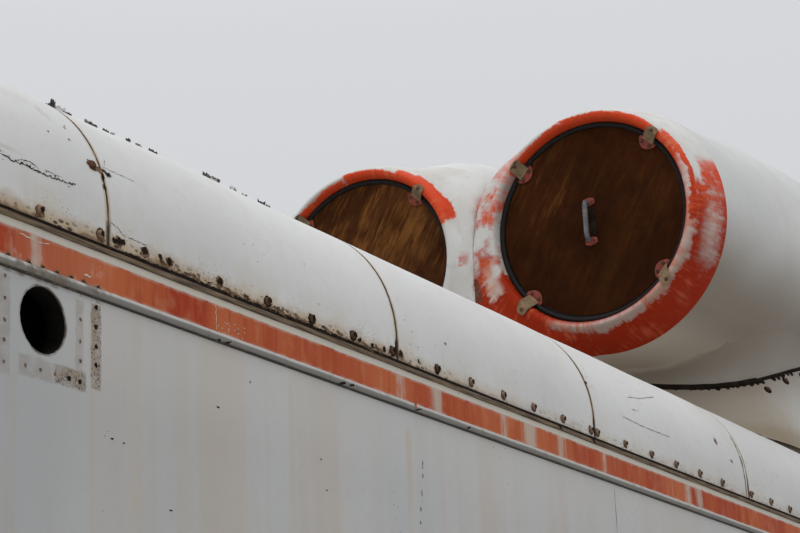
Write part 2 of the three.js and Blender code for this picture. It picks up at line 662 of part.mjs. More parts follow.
// A clamp tab in side view, [x, radius]: from the cover over the seal to the front of the lip.
const CLAMP = [
  [COVER_FACE_X - 1, 394],
  [-343, 394],
  [-343, 408],
  [-294, 452],
  [-294, 492],
  [-299, 492],
  [-299, 456],
  [-349, 413],
  [COVER_FACE_X - 1, 413],
];
const CLAMP_HALF_WIDTH = 26;
const CLAMP_ANGLES = [45, 135, 225, 315];
const HANDLE_Z = 80; // the handle's feet, above and below the axis
const NOZZLE = [
  [FAIRING_END_X - GAP, 0],
  [FAIRING_END_X - GAP, 330],
  [-5960, 270],
  [-5960, 256],
  [-5620, 300],
  [-5620, 120],
  [-5860, 0],
];
for (const [side, y, neighbours] of ENGINES) {
  add(`intake_cowl_${side}`, cowl(y, neighbours), MATERIALS.orange);
  add(`intake_seal_${side}`, turned(SEAL, y, ENGINE_Z), MATERIALS.rubber);
  let cover = turned(COVER_DISC, y, ENGINE_Z);
  for (const angle of CLAMP_ANGLES) {
    const clamp = alongY(CLAMP, [-CLAMP_HALF_WIDTH, CLAMP_HALF_WIDTH]).rotate([angle, 0, 0]);
    cover = cover.add(clamp.translate([0, y, ENGINE_Z]));
  }
  for (const z of [ENGINE_Z - HANDLE_Z, ENGINE_Z + HANDLE_Z]) {
    cover = cover.add(box([COVER_X - 5, COVER_X + 40], [y - 14, y + 14], [z - 16, z + 16]));
  }
  const grip = [ENGINE_Z - HANDLE_Z - 16, ENGINE_Z + HANDLE_Z + 16];
  cover = cover.add(box([COVER_X + 28, COVER_X + 44], [y - 10, y + 10], grip));
  add(`intake_cover_${side}`, cover, MATERIALS.cover);
  add(`exhaust_nozzle_${side}`, turned(NOZZLE, y, ENGINE_Z), MATERIALS.steel);
}

export default group;
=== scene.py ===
"""Looks of the hovertrain: fine skins, wear, fasteners, cushions, lights and the camera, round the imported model."""

import math
from functools import reduce
from math import atan2, cos, hypot, pi, radians, sin

import bmesh
import bpy
import numpy as np
from mathutils import Matrix, Vector
from mathutils.bvhtree import BVHTree
from numpy import linspace


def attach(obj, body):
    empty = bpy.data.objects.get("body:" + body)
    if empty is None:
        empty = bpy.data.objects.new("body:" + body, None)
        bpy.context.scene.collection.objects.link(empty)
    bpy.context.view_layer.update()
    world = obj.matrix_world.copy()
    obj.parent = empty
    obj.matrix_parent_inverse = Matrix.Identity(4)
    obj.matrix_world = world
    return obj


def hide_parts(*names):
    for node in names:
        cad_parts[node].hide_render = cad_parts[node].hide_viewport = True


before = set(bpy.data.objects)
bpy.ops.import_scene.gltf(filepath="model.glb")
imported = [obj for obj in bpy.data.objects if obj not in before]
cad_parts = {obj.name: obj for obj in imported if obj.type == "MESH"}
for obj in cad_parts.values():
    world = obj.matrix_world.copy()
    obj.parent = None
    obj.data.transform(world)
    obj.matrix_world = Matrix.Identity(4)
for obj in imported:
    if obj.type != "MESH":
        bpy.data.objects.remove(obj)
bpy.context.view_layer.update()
RNG = np.random.default_rng(11)

# Sizes in metres, as in the part's source: the body, its seams and stripe, the hole (x, z, radius) and the engines.
BODY_X = (-6.2, 4.3)
HALF = 1.896
SEAM_Z = 2.905
EDGE_R = 0.395
EDGE_Z = 2.968
FLAT_Y = HALF - EDGE_R
CAMBER = 0.04
SEAMS = (3.869, 2.598, 1.346, 0.004, -1.267, -2.538, -3.809, -5.08)
STRIPE_Z = (2.795, 2.866)
BEAD_Z = 2.7825
LEDGE_TOP = 2.8985
HOLE = (4.09, 2.68, 0.075)
ROOF_Z = EDGE_Z + EDGE_R
STRAIGHT = EDGE_Z - SEAM_Z
MIDWAY = 0.583
ENGINE_Z = 4.286
ENGINE_PITCH = 1.166
COVER_X = -0.35
ENGINES = {"left": ENGINE_PITCH, "center": 0.0, "right": -ENGINE_PITCH}
SIDES = {"left": 1, "right": -1}

# Columns: x, half width, height above the axis of the outer and of the middle nacelle, heights above and below the
# axis between which neighbours meet, and the lip's flare towards them.
NACELLE = [
    (-0.300, 0.478, 0.478, 0.478, -0.300, 0.300, 0.490),
    (-0.306, 0.490, 0.490, 0.490, -0.300, 0.300, 0.520),
    (-0.318, 0.499, 0.499, 0.499, -0.300, 0.300, 0.590),
    (-0.326, 0.503, 0.503, 0.503, -0.300, 0.300, 0.0),
    (-0.334, 0.507, 0.507, 0.507, -0.131, 0.370, 0.0),
    (-0.345, 0.511, 0.511, 0.511, 0.000, 0.400, 0.0),
    (-0.365, 0.518, 0.518, 0.518, 0.114, 0.425, 0.0),
    (-0.399, 0.529, 0.529, 0.529, 0.201, 0.440, 0.0),
    (-0.449, 0.543, 0.543, 0.541, 0.267, 0.455, 0.0),
    (-0.520, 0.558, 0.560, 0.550, 0.342, 0.474, 0.0),
    (-0.600, 0.568, 0.570, 0.552, 0.415, 0.490, 0.0),
    (-0.760, 0.578, 0.582, 0.553, 0.462, 0.510, 0.0),
    (-0.900, 0.590, 0.603, 0.556, 0.474, 0.525, 0.0),
    (-1.100, 0.608, 0.637, 0.572, 0.500, 0.545, 0.0),
    (-1.400, 0.632, 0.668, 0.620, 0.545, 0.560, 0.0),
    (-1.900, 0.665, 0.698, 0.720, 0.620, 0.590, 0.0),
    (-2.600, 0.700, 0.725, 0.840, 0.690, 0.620, 0.0),
    (-3.300, 0.715, 0.735, 0.900, 0.712, 0.630, 0.0),
    (-4.100, 0.690, 0.705, 0.850, 0.685, 0.600, 0.0),
    (-4.900, 0.600, 0.595, 0.690, 0.572, 0.500, 0.0),
    (-5.500, 0.430, 0.430, 0.440, 0.330, 0.300, 0.0),
]
COWL_END = -0.52
INNER_LIP = [(-0.303, 0.468), (-0.312, 0.459), (-0.33, 0.454), (-0.374, 0.4505)]
# Columns: z, front x, half width, front corner radius, rear x.
DECK = [
    (3.2, -0.50, 1.712, 0.85, -5.95),
    (3.363, -0.57, 1.70, 0.85, -5.90),
    (3.7, -0.76, 1.668, 0.96, -5.66),
    (3.8, -0.83, 1.65, 0.98, -5.60),
    (4.12, -1.05, 1.56, 1.0, -5.35),
]
# Columns: x, half width, bottom z, roof edge z, roof edge radius, bottom radius, camber.
NOSE = [
    (4.3, 1.896, 0.70, 3.363, 0.395, 0.06, 0.040),
    (5.2, 1.880, 0.70, 3.330, 0.400, 0.06, 0.038),
    (5.9, 1.790, 0.69, 2.850, 0.430, 0.08, 0.030),
    (6.4, 1.680, 0.61, 2.330, 0.430, 0.10, 0.025),
    (7.0, 1.430, 0.52, 1.790, 0.380, 0.12, 0.015),
    (7.45, 1.110, 0.50, 1.380, 0.300, 0.15, 0.008),
    (7.7, 0.800, 0.56, 1.120, 0.180, 0.15, 0.004),
    (7.75, 0.640, 0.64, 1.010, 0.120, 0.12, 0.0),
]
TAIL = [
    (-6.2, 1.896, 0.70, 3.363, 0.395, 0.06, 0.040),
    (-6.7, 1.880, 0.70, 3.280, 0.395, 0.06, 0.036),
    (-7.3, 1.790, 0.74, 2.960, 0.380, 0.09, 0.028),
    (-7.65, 1.680, 0.80, 2.700, 0.340, 0.13, 0.020),
    (-7.75, 1.600, 0.86, 2.600, 0.300, 0.16, 0.014),
]


def around(count):
    """Pairs of cosine and sine, evenly round a circle."""
    return [(cos(a), sin(a)) for a in linspace(0, 2 * np.pi, count, endpoint=False)]


class Field:
    """A number that varies over a surface: a node's output that takes part in sums."""

    def __init__(self, graph, socket):
        self.graph, self.socket = graph, socket

    def __add__(self, other):
        return self.graph.math("ADD", self, other)

    def __sub__(self, other):
        return self.graph.math("SUBTRACT", self, other)

    def __rsub__(self, other):
        return self.graph.math("SUBTRACT", other, self)

    def __mul__(self, other):
        return self.graph.math("MULTIPLY", self, other)

    def __truediv__(self, other):
        return self.graph.math("DIVIDE", self, other)

    def __abs__(self):
        return self.graph.math("ABSOLUTE", self)

    __radd__, __rmul__ = __add__, __mul__


class Graph:
    """A material's node graph, in which numbers, colours, sockets and fields mix freely as inputs."""

    def __init__(self, name):
        self.material = bpy.data.materials.new(name)
        self.material.use_nodes = True
        self.tree = self.material.node_tree
        self.tree.nodes.clear()
        self.bsdf = self.node("ShaderNodeBsdfPrincipled")
        self.node("ShaderNodeOutputMaterial", {0: self.bsdf.outputs[0]})
        self.place = self.node("ShaderNodeTexCoord").outputs["Object"]
        self.x, self.y, self.z = (self.split(self.place, axis) for axis in range(3))

    def feed(self, node, inputs):
        for key, value in inputs.items():
            socket = node.inputs[key]
            value = value.socket if isinstance(value, Field) else value
            if isinstance(value, bpy.types.NodeSocket):
                self.tree.links.new(value, socket)
            elif isinstance(value, tuple) and socket.type == "RGBA":
                socket.default_value = (*value, 1.0)
            else:
                socket.default_value = value

    def node(self, kind, inputs=None, **settings):
        made = self.tree.nodes.new(kind)
        for key, value in settings.items():
            setattr(made, key, value)
        self.feed(made, inputs or {})
        return made

    def field(self, kind, inputs, output=0, **settings):
        return Field(self, self.node(kind, inputs, **settings).outputs[output])

    def split(self, vector, axis):
        return self.field("ShaderNodeSeparateXYZ", {0: vector}, axis)

    def math(self, operation, *values):
        return self.field("ShaderNodeMath", dict(enumerate(values)), operation=operation)

    def most(self, *values):
        return reduce(lambda a, b: self.math("MAXIMUM", a, b), values)

    def step(self, value, low, high, lowest=0.0, highest=1.0):
        """A smooth ramp from lowest, where value is low, to highest, where it is high."""
        keys = {"Value": value, "From Min": low, "From Max": high, "To Min": lowest, "To Max": highest}
        return self.field("ShaderNodeMapRange", keys, interpolation_type="SMOOTHSTEP")

    def band(self, value, low, high, soft):
        """1 between low and high, with soft edges."""
        return self.step(value, low - soft, low + soft) * self.step(value, high + soft, high - soft)

    def box(self, u, v, u_range, v_range, soft=0.004):
        return self.band(u, *u_range, soft) * self.band(v, *v_range, soft)

    def mapped(self, vector, **changes):
        return self.node("ShaderNodeMapping", {"Vector": vector, **changes}).outputs[0]

    def noise(self, scale=1.0, detail=3.0, stretch=None, rough=0.55, vector=None):
        vector = self.place if vector is None else vector
        if stretch:
            vector = self.mapped(vector, Scale=stretch)
        return self.field("ShaderNodeTexNoise", {"Vector": vector, "Scale": scale, "Detail": detail,
                                                 "Roughness": rough})

    def swing(self, *args, **settings):
        """Noise about nought."""
        return self.noise(*args, **settings) - 0.5

    def cells(self, scale, stretch=(1, 1, 1), feature="F1"):
        keys = {"Vector": self.mapped(self.place, Scale=stretch), "Scale": scale}
        return self.field("ShaderNodeTexVoronoi", keys, "Distance", feature=feature)

    def facing_up(self):
        return self.split(self.node("ShaderNodeNewGeometry").outputs["Normal"], 2)

    def mix(self, factor, a, b):
        return self.node("ShaderNodeMix", {0: factor, 6: a, 7: b}, data_type="RGBA", clamp_factor=True).outputs[2]

    def finish(self, color, roughness=0.5, bump=None, depth=0.001, strength=0.5, **inputs):
        if bump is not None:
            keys = {"Height": bump, "Distance": depth, "Strength": strength}
            inputs["Normal"] = self.node("ShaderNodeBump", keys).outputs[0]
        keys = {"Base Color": color, "Roughness": roughness}
        self.feed(self.bsdf, keys | {key.replace("_", " "): value for key, value in inputs.items()})
        return self.material

    def paint(self, color, height, dull, depth=0.0015, specular=0.25):
        """Finish as old paint, whose roughness varies between the two numbers of dull."""
        cloudy = self.step(self.noise(6, 4), 0.3, 0.7, *dull)
        return self.finish(color, cloudy, height, depth, 0.35, Specular_IOR_Level=specular)


def chalk(g, base, streaks, rough=0.16):
    """Old white paint: cloudy tone, fine dirt and rain streaks. Gives its colour and its height."""
    cloud = g.noise(0.9, 4)
    fine = g.noise(26, 5, rough=0.7)
    color = g.mix(g.step(cloud, 0.35, 0.7), base, tuple(c * 0.88 for c in base))
    color = g.mix(g.step(fine, 0.45, 0.75) * rough, color, (0.36, 0.33, 0.28))
    rain = g.noise(1.0, 4, stretch=(9, 9, 0.35))
    where = g.step(g.noise(1.0, 2, stretch=(1.3, 1.3, 0.5)), 0.42, 0.62)
    color = g.mix(g.step(rain, 0.5, 0.72) * where * streaks, color, (0.46, 0.38, 0.27))
    thin = g.noise(1.0, 3, stretch=(60, 60, 0.8))
    color = g.mix(g.step(thin, 0.58, 0.75) * (streaks * 0.5), color, (0.38, 0.33, 0.27))
    return color, fine * 0.4 + cloud * 3.0


def chipped(g, color, amount):
    chips = g.step(g.cells(34), 0.14, 0.09) * g.step(g.noise(2.2, 3), 0.54, 0.66) * amount
    return g.mix(chips, color, (0.1, 0.07, 0.05))


def white_paint(name, base=(0.57, 0.565, 0.55), streaks=0.25, chips=0.3, belly_shade=0.0):
    """White paint, with painted shade on what faces down where asked."""
    g = Graph(name)
    color, height = chalk(g, base, streaks)
    color = chipped(g, color, chips)
    if belly_shade:
        # Painted shade: darker and browner where the surface faces down, and a little lighter again where it faces
        # straight down.
        low = g.step(g.facing_up() + g.swing(3, 4) * 0.25, 0.12, -0.6)
        under = g.mix(g.step(g.facing_up(), -0.72, -0.97), (0.235, 0.195, 0.15), (0.46, 0.39, 0.31))
        color = g.mix(low * belly_shade, color, under)
    return g.paint(color, height, (0.45, 0.65))


# Where the stripe's paint has gone, on the left side: centre and half width along the car.
STRIPE_GAPS = ((4.12, 0.014), (2.588, 0.012), (2.386, 0.024), (1.98, 0.012), (1.82, 0.04), (1.602, 0.02),
               (1.29, 0.006), (0.6, 0.022), (0.5, 0.016))

# Stains that run down the walls: from and to which x, their top and their strength.
WALL_RUNS = ((4.172, 4.208, 2.6, 0.45), (3.748, 3.782, 2.9, 0.3), (3.918, 3.932, 2.76, 0.45),
             (2.545, 2.575, 2.74, 0.4), (2.945, 2.985, 2.76, 0.16), (3.13, 3.15, 2.76, 0.25))
# What tape has left round the hole, strongly and faintly: ranges of x and z.
STRONG_TAPE = (((3.894, 3.929), (2.561, 2.757)), ((3.948, 4.05), (2.548, 2.592)))
FAINT_TAPE = (((4.195, 4.232), (2.537, 2.752)), ((3.955, 3.982), (2.588, 2.755)), ((4.045, 4.168), (2.546, 2.592)))


def wall_paint(name, marks):
    """The lower wall's paint with its faded stripe and, on the side that the photograph shows, its marks."""
    g = Graph(name)
    base = (0.475, 0.472, 0.46)
    color, height = chalk(g, base, 0.32)
    columns = g.noise(1.0, 4, stretch=(3.4, 3.4, 0.06), rough=0.62)
    steep = g.step(g.facing_up(), 0.55, 0.15, 0.12, 1.0)
    color = g.mix(g.step(columns, 0.46, 0.66) * steep * 0.4, color, (0.44, 0.35, 0.27))
    pink = g.noise(1.0, 3, stretch=(9, 9, 0.12))
    color = g.mix(g.step(pink, 0.55, 0.72) * steep * 0.22, color, (0.5, 0.37, 0.3))
    color = g.mix(g.step(columns, 0.5, 0.3) * 0.35, color, (0.39, 0.4, 0.41))
    color = g.mix(g.step(g.z, 2.5, 2.72) * 0.35, color, (0.55, 0.53, 0.5))
    for low, high, top, amount in WALL_RUNS:
        run = g.band(g.x, low, high, 0.009) * g.step(g.z, top, top - 0.05) * g.step(g.noise(4, 3), 0.2, 0.6)
        color = g.mix(run * amount, color, (0.46, 0.37, 0.25))
    if marks:
        color = g.mix(g.step(g.x, 3.85, 4.2) * 0.5, color, (0.33, 0.335, 0.34))
    # The stripe, worn through in streaks and gaps.
    ragged = g.swing(34, 3)
    inside = g.band(g.z + ragged * 0.005, *STRIPE_Z, 0.0012)
    sideways = g.step(abs(g.y) + ragged * 0.02, 1.33, 1.35)
    inside = inside * g.most(sideways, g.step(g.x, 4.9, 4.8))
    worn = g.noise(1.0, 4, stretch=(42, 42, 3.5), rough=0.65)
    patches = g.noise(1.0, 3, stretch=(3.2, 3.2, 0.3))
    blots = g.noise(1.0, 4, stretch=(22, 22, 14))
    tint = g.mix(g.step(patches, 0.38, 0.62), (0.33, 0.036, 0.008), (0.44, 0.105, 0.034))
    tint = g.mix(g.step(worn, 0.48, 0.78) * 0.5, tint, (0.47, 0.165, 0.07))
    tint = g.mix(g.step(blots, 0.52, 0.76) * 0.4, tint, (0.46, 0.18, 0.085))
    tint = g.mix(g.step(worn, 0.42, 0.26) * 0.5, tint, (0.19, 0.022, 0.009))
    rim = g.step(abs(g.z - 2.831), 0.026, 0.035) * g.step(blots, 0.35, 0.6)
    tint = g.mix(rim * 0.5, tint, (0.55, 0.4, 0.32))
    if marks:
        pale = g.step(g.x, 3.87, 3.93) * g.step(g.x, 4.21, 4.17)
        tint = g.mix(pale * 0.55, tint, (0.43, 0.13, 0.06))
        light = pale * g.step(blots, 0.55, 0.66)
        tint = g.mix(light * 0.5, tint, (0.55, 0.42, 0.36))
    gaps = g.step(worn * 0.6 + patches * 0.4, 0.58, 0.72) * g.step(g.x, 2.9, 2.2, 0.15, 0.75)
    for centre, width in STRIPE_GAPS:
        edge = abs(g.x - centre) + (worn - 0.5) * 0.09 + ragged * 0.02
        gaps = g.most(gaps, g.step(edge, width + 0.018, width - 0.016) * g.step(blots, 0.15, 0.5))
    tint = g.mix(gaps * 0.8, tint, (0.47, 0.4, 0.33))
    color = g.mix(inside, color, tint)
    # Pale margin above the stripe, and dirt about the bead.
    color = g.mix(g.band(g.z, 2.868, 2.89, 0.002) * g.step(blots, 0.3, 0.6, 0.45, 0.8), color, (0.57, 0.51, 0.41))
    if marks:
        dirt = g.most(g.band(g.x, 4.01, 4.22, 0.02), g.band(g.x, 3.89, 3.965, 0.01))
        dirt = dirt * g.band(g.z, 2.762, 2.799, 0.003) * g.step(g.noise(40, 4), 0.38, 0.6)
        color = g.mix(dirt * 0.7, color, (0.16, 0.12, 0.085))
        # The hole's rim: bare and rusty on its front and upper edge.
        ahead, above = g.x - HOLE[0], g.z - HOLE[1]
        from_hole = g.math("SQRT", g.math("POWER", ahead, 2.0) + g.math("POWER", above, 2.0))
        rim = g.step(from_hole + ragged * 0.009, HOLE[2] + 0.0065, HOLE[2] + 0.001)
        color = g.mix(rim * g.step(g.noise(14, 3), 0.38, 0.55, 0.25, 0.95), color, (0.1, 0.075, 0.055))
        # What the tape has left round the hole.
        flecks = g.step(g.cells(190, stretch=(1, 1, 0.8)), 0.5, 0.3) * g.step(g.noise(50, 3), 0.4, 0.56)
        smear = g.step(g.noise(28, 4), 0.3, 0.62)
        u, v = g.x + ragged * 0.014, g.z + ragged * 0.014
        faint, strong = (g.most(*(g.box(u, v, *box) for box in boxes)) for boxes in (FAINT_TAPE, STRONG_TAPE))
        color = g.mix(faint * (0.16 + smear * 0.3), color, (0.24, 0.2, 0.16))
        color = g.mix(strong * (0.38 + smear * 0.35), color, (0.22, 0.16, 0.1))
        color = g.mix(strong * flecks * 0.8, color, (0.05, 0.033, 0.022))
        pocks = strong * g.step(g.cells(150, stretch=(1, 1, 1.3), feature="SMOOTH_F1"), 0.34, 0.24)
        color = g.mix(pocks * g.step(g.noise(60, 2), 0.5, 0.6) * 0.5, color, (0.5, 0.46, 0.4))
    color = chipped(g, color, 0.35)
    return g.paint(color, height, (0.5, 0.68), specular=0.12)


def edge_paint(name, marks):
    """The roof edge's paint: grime and black flecks above the seam, sealant at the panel joints."""
    g = Graph(name)
    color, height = chalk(g, (0.6, 0.595, 0.575), 0.13, rough=0.12)
    out = abs(g.y) - FLAT_Y
    angle = g.most(g.math("ARCTAN2", g.z - EDGE_Z, out), 0.0)
    arc = angle * EDGE_R + g.math("MINIMUM", g.z - SEAM_Z, STRAIGHT)
    rough = g.swing(24, 5, rough=0.7)
    ahead = g.step(g.x, 1.8, 2.8, 0.35, 1.0) if marks else 0.45
    low = g.step(arc + rough * 0.07, 0.05, 0.006)
    color = g.mix(low * 0.85 * ahead, color, (0.37, 0.25, 0.13))
    wash = g.step(arc, 0.13, 0.02) * g.step(g.noise(1.0, 4, stretch=(7, 7, 2)), 0.42, 0.66)
    color = g.mix(wash * 0.45 * ahead, color, (0.5, 0.42, 0.31))
    slow = g.swing(1.0, 3, stretch=(9, 9, 9))
    line = g.step(arc + rough * 0.03 + slow * 0.04, 0.013, 0.001)
    color = g.mix(line * ahead * 0.85, color, (0.15, 0.085, 0.04))
    flakes = g.step(g.cells(66, stretch=(0.6, 1, 1.2)), 0.46, 0.28) * g.step(g.noise(9, 3), 0.4, 0.54)
    flakes = flakes * g.step(arc + rough * 0.05, 0.034, 0.01) * ahead
    color = g.mix(flakes, color, (0.05, 0.028, 0.016))
    tiny = g.step(g.cells(120), 0.3, 0.18) * g.step(g.noise(7, 3), 0.52, 0.62) * g.step(arc, 0.095, 0.02) * ahead
    color = g.mix(tiny * 0.8, color, (0.09, 0.05, 0.03))
    for x in SEAMS:
        near = abs(g.x - x + rough * 0.006)
        seal = g.step(near, 0.014, 0.006) * g.step(arc, 0.5, 0.34, 0.35, 1.0)
        color = g.mix(seal * g.step(g.noise(30, 4), 0.25, 0.5) * 0.8, color, (0.42, 0.31, 0.19))
        core = g.step(near, 0.0048, 0.0026) * g.step(g.noise(16, 3), 0.25, 0.5, 0.45, 1.0)
        color = g.mix(core, color, (0.055, 0.036, 0.024))
        foot = g.step(near, 0.012, 0.004) * g.step(arc + rough * 0.08, 0.085, 0.05)
        color = g.mix(foot * 0.85, color, (0.04, 0.025, 0.017))
    speck = g.step(g.cells(30), 0.11, 0.07) * g.step(g.noise(2.6, 3), 0.48, 0.6)
    color = g.mix(speck * 0.7, color, (0.14, 0.11, 0.085))
    scuff = g.step(g.noise(1.0, 4, stretch=(3, 30, 30), rough=0.7), 0.62, 0.72) * g.step(g.noise(3, 2), 0.5, 0.6)
    color = g.mix(scuff * 0.3, color, (0.3, 0.28, 0.25))
    return g.paint(color, height - flakes * 1.5, (0.45, 0.62))


def plain(name, color, other, scale, rough=(0.5, 0.7), metal=0.0, stretch=None, depth=0.0006, dust=0.0, **inputs):
    """Two mottled tones with dust that lies on top: rubber, steel, boards and so on."""
    g = Graph(name)
    grain = g.noise(scale, 5, stretch=stretch, rough=0.65)
    tone = g.mix(g.step(grain, 0.35, 0.68), color, other)
    lying = g.step(g.facing_up(), 0.2, 0.95) * g.step(g.noise(9, 4), 0.3, 0.7) * dust
    tone = g.mix(lying, tone, (0.33, 0.3, 0.26))
    if not metal:
        inputs.setdefault("Specular_IOR_Level", 0.2)
    return g.finish(tone, g.step(grain, 0.3, 0.7, *rough), bump=grain, depth=depth, Metallic=metal, **inputs)


def linked(name, data):
    """A new object in the scene."""
    obj = bpy.data.objects.new(name, data)
    bpy.context.scene.collection.objects.link(obj)
    return obj


def smooth_by_angle(mesh, degrees):
    mesh.polygons.foreach_set("use_smooth", [True] * len(mesh.polygons))
    mesh.set_sharp_from_angle(angle=radians(degrees))


def object_of(name, verts, faces, material, slot=None, body="root", smooth=True, parts=()):
    mesh = bpy.data.meshes.new(name)
    mesh.from_pydata([tuple(map(float, v)) for v in verts], [], [tuple(map(int, f)) for f in faces])
    mesh.update()
    obj = linked(name, mesh)
    mesh.materials.append(material)
    if smooth:
        smooth_by_angle(mesh, 50)
    if body:
        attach(obj, body)
    if parts:
        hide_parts(*parts)
    return obj


class Pile:
    """Many small shapes, gathered into one mesh."""

    def __init__(self):
        self.verts, self.faces = [], []

    def add(self, verts, faces, matrix=None):
        start = sum(len(v) for v in self.verts)
        verts = np.asarray(verts, float)
        if matrix is not None:
            m = np.array(matrix)
            verts = verts @ m[:3, :3].T + m[:3, 3]
        self.verts.append(verts)
        self.faces.extend([tuple(start + i for i in f) for f in faces])

    def add_strip(self, rows):
        """Add a sheet through rows of equally many points."""
        self.add(np.array(rows).reshape(-1, 3), grid_faces(len(rows), len(rows[0])))

    def make(self, name, material, slot=None, body="root", smooth=True, parts=()):
        return object_of(name, np.concatenate(self.verts), self.faces, material, slot, body, smooth, parts)


def grid_faces(rows, columns, wrap=False):
    faces = []
    for r in range(rows - 1):
        for c in range(columns if wrap else columns - 1):
            d = (c + 1) % columns
            faces.append((r * columns + c, r * columns + d, (r + 1) * columns + d, (r + 1) * columns + c))
    return faces


def ring_loft(rings, caps=(True, True)):
    """(verts, faces) through rings of equally many points."""
    rings = np.asarray(rings, float)
    rows, n = rings.shape[:2]
    faces = grid_faces(rows, n, wrap=True)
    if caps[0]:
        faces.append(tuple(range(n - 1, -1, -1)))
    if caps[1]:
        faces.append(tuple((rows - 1) * n + i for i in range(n)))
    return rings.reshape(-1, 3), faces


def turned(profile, y, z, segments=96, caps=(False, False)):
    """(verts, faces) of a profile of (x, radius), turned about an axis along X."""
    return ring_loft([[(x, y + r * c, z + r * s) for c, s in around(segments)] for x, r in profile], caps)


def lengths(points):
    """How far along a line each of its points lies."""
    return np.concatenate([[0], np.cumsum(np.linalg.norm(np.diff(points, axis=0), axis=1))])


def curve(values, places, at):
    """A smooth curve through values, numbers or points, that doesn't overshoot, read at each of at."""
    order = np.argsort(places)
    p, v = np.asarray(places, float)[order], np.asarray(values, float)[order]
    wide = (-1,) + (1,) * (v.ndim - 1)
    d = np.diff(v, axis=0) / np.diff(p).reshape(wide)
    m = np.zeros_like(v)
    m[0], m[-1] = d[0], d[-1]
    before, after = d[:-1], d[1:]
    same = before * after > 0
    m[1:-1] = np.where(same, 2 * before * after / np.where(same, before + after, 1), 0)
    at = np.atleast_1d(np.asarray(at, float))
    i = np.clip(np.searchsorted(p, at) - 1, 0, len(p) - 2)
    w = (p[i + 1] - p[i]).reshape(wide)
    t = (at - p[i]).reshape(wide) / w
    rise = v[i] * (1 + 2 * t) * (1 - t) ** 2 + v[i + 1] * t * t * (3 - 2 * t)
    return rise + m[i] * w * t * (1 - t) ** 2 + m[i + 1] * w * t * t * (t - 1)


def row_at(table, at):
    """The other columns of a table where its first column would be at."""
    return curve([row[1:] for row in table], [row[0] for row in table], [at])[0]


def tree_of(verts, faces):
    return BVHTree.FromPolygons([Vector(v) for v in verts], faces)


def seated(hit, normal):
    """A place on a surface, with local Z pointing out."""
    return Matrix.Translation(hit) @ normal.to_track_quat("Z", "Y").to_matrix().to_4x4()


def turned_about(axis, degrees):
    return Matrix.Rotation(radians(degrees), 4, axis)


def box_at(low, high):
    verts = [(x, y, z) for x in (low[0], high[0]) for y in (low[1], high[1]) for z in (low[2], high[2])]
    return verts, [(0, 1, 3, 2), (4, 6, 7, 5), (0, 4, 5, 1), (2, 3, 7, 6), (0, 2, 6, 4), (1, 5, 7, 3)]


def tube(points, radius, sides=8, closed=False):
    """(verts, faces) of a round tube along points."""
    points = np.asarray(points, float)
    tangents = np.roll(points, -1, 0) - np.roll(points, 1, 0) if closed else np.gradient(points, axis=0)
    rings = []
    up = Vector((0.13, 0.21, 0.97))
    for p, t in zip(points, tangents):
        t = Vector(t).normalized()
        side = t.cross(up).normalized()
        up = side.cross(t).normalized()
        rings.append([Vector(p) + radius * (c * side + s * up) for c, s in around(sides)])
    if not closed:
        return ring_loft(rings)
    verts, faces = ring_loft(rings, caps=(False, False))
    last = len(verts) - sides
    twist = int(np.argmin(((verts[:sides] - verts[last]) ** 2).sum(1)))
    faces += [(last + i, last + (i + 1) % sides, (i + 1 + twist) % sides, (i + twist) % sides) for i in range(sides)]
    return verts, faces


# Materials.
PAINT = white_paint("paint_white")
LEFT_WALL = wall_paint("paint_wall_left", True)
RIGHT_WALL = wall_paint("paint_wall_right", False)
EDGE_LEFT = edge_paint("paint_edge_left", True)
EDGE_RIGHT = edge_paint("paint_edge_right", False)
# The nacelles' paint, with painted shade on what faces down.
NACELLE_PAINT = white_paint("paint_nacelle", base=(0.6, 0.595, 0.58), streaks=0.1, chips=0.2, belly_shade=0.95)


def deck_paint():
    """White paint with painted shade: browned at the front and darker high up, where the nacelles shade it; also
    browner towards its foot.
    """
    g = Graph("paint_deck")
    color, height = chalk(g, (0.5, 0.49, 0.46), 0.5)
    # Painted shade: browner at the front, under the nacelles.
    front = g.step(g.x + g.swing(2.5, 4) * 0.5, -1.55, -1.05)
    color = g.mix(front * 0.8, color, (0.3, 0.245, 0.18))
    # Painted shade: darker high up, just under the nacelles.
    high = g.step(g.z + g.swing(7, 4) * 0.12, 3.52, 3.78)
    color = g.mix(high * 0.6, color, (0.21, 0.165, 0.12))
    foot = g.step(g.z + g.swing(9, 4) * 0.08, 3.47, 3.4)
    color = g.mix(foot * 0.6, color, (0.26, 0.2, 0.13))
    return g.finish(chipped(g, color, 0.5), 0.62, bump=height, depth=0.0015, strength=0.35, Specular_IOR_Level=0.15)


DECK_PAINT = deck_paint()
RUBBER = plain("rubber_black", (0.006, 0.006, 0.006), (0.016, 0.014, 0.013), 30, (0.6, 0.85), dust=0.03)
FRAME_GREY = plain("frame_grey", (0.045, 0.047, 0.05), (0.085, 0.08, 0.072), 7, (0.45, 0.75), metal=0.2, dust=0.5)
PAD_METAL = plain("pad_metal", (0.33, 0.335, 0.34), (0.46, 0.455, 0.44), 5, (0.3, 0.55), metal=0.8, dust=0.5)
MOTOR_STEEL = plain("motor_steel", (0.1, 0.075, 0.05), (0.18, 0.14, 0.1), 1, stretch=(160, 160, 2), metal=0.6, dust=0.3)
NOZZLE_STEEL = plain("nozzle_steel", (0.16, 0.13, 0.11), (0.3, 0.27, 0.24), 6, (0.3, 0.55), metal=0.9, dust=0.2)
CABIN_GREY = plain("cabin_grey", (0.09, 0.095, 0.1), (0.13, 0.13, 0.13), 12, (0.5, 0.7), dust=0.2)
SEAT_CLOTH = plain("seat_cloth", (0.028, 0.035, 0.055), (0.055, 0.062, 0.085), 420, (0.85, 0.98), depth=0.0012,
                   dust=0.15, Sheen_Weight=0.3)
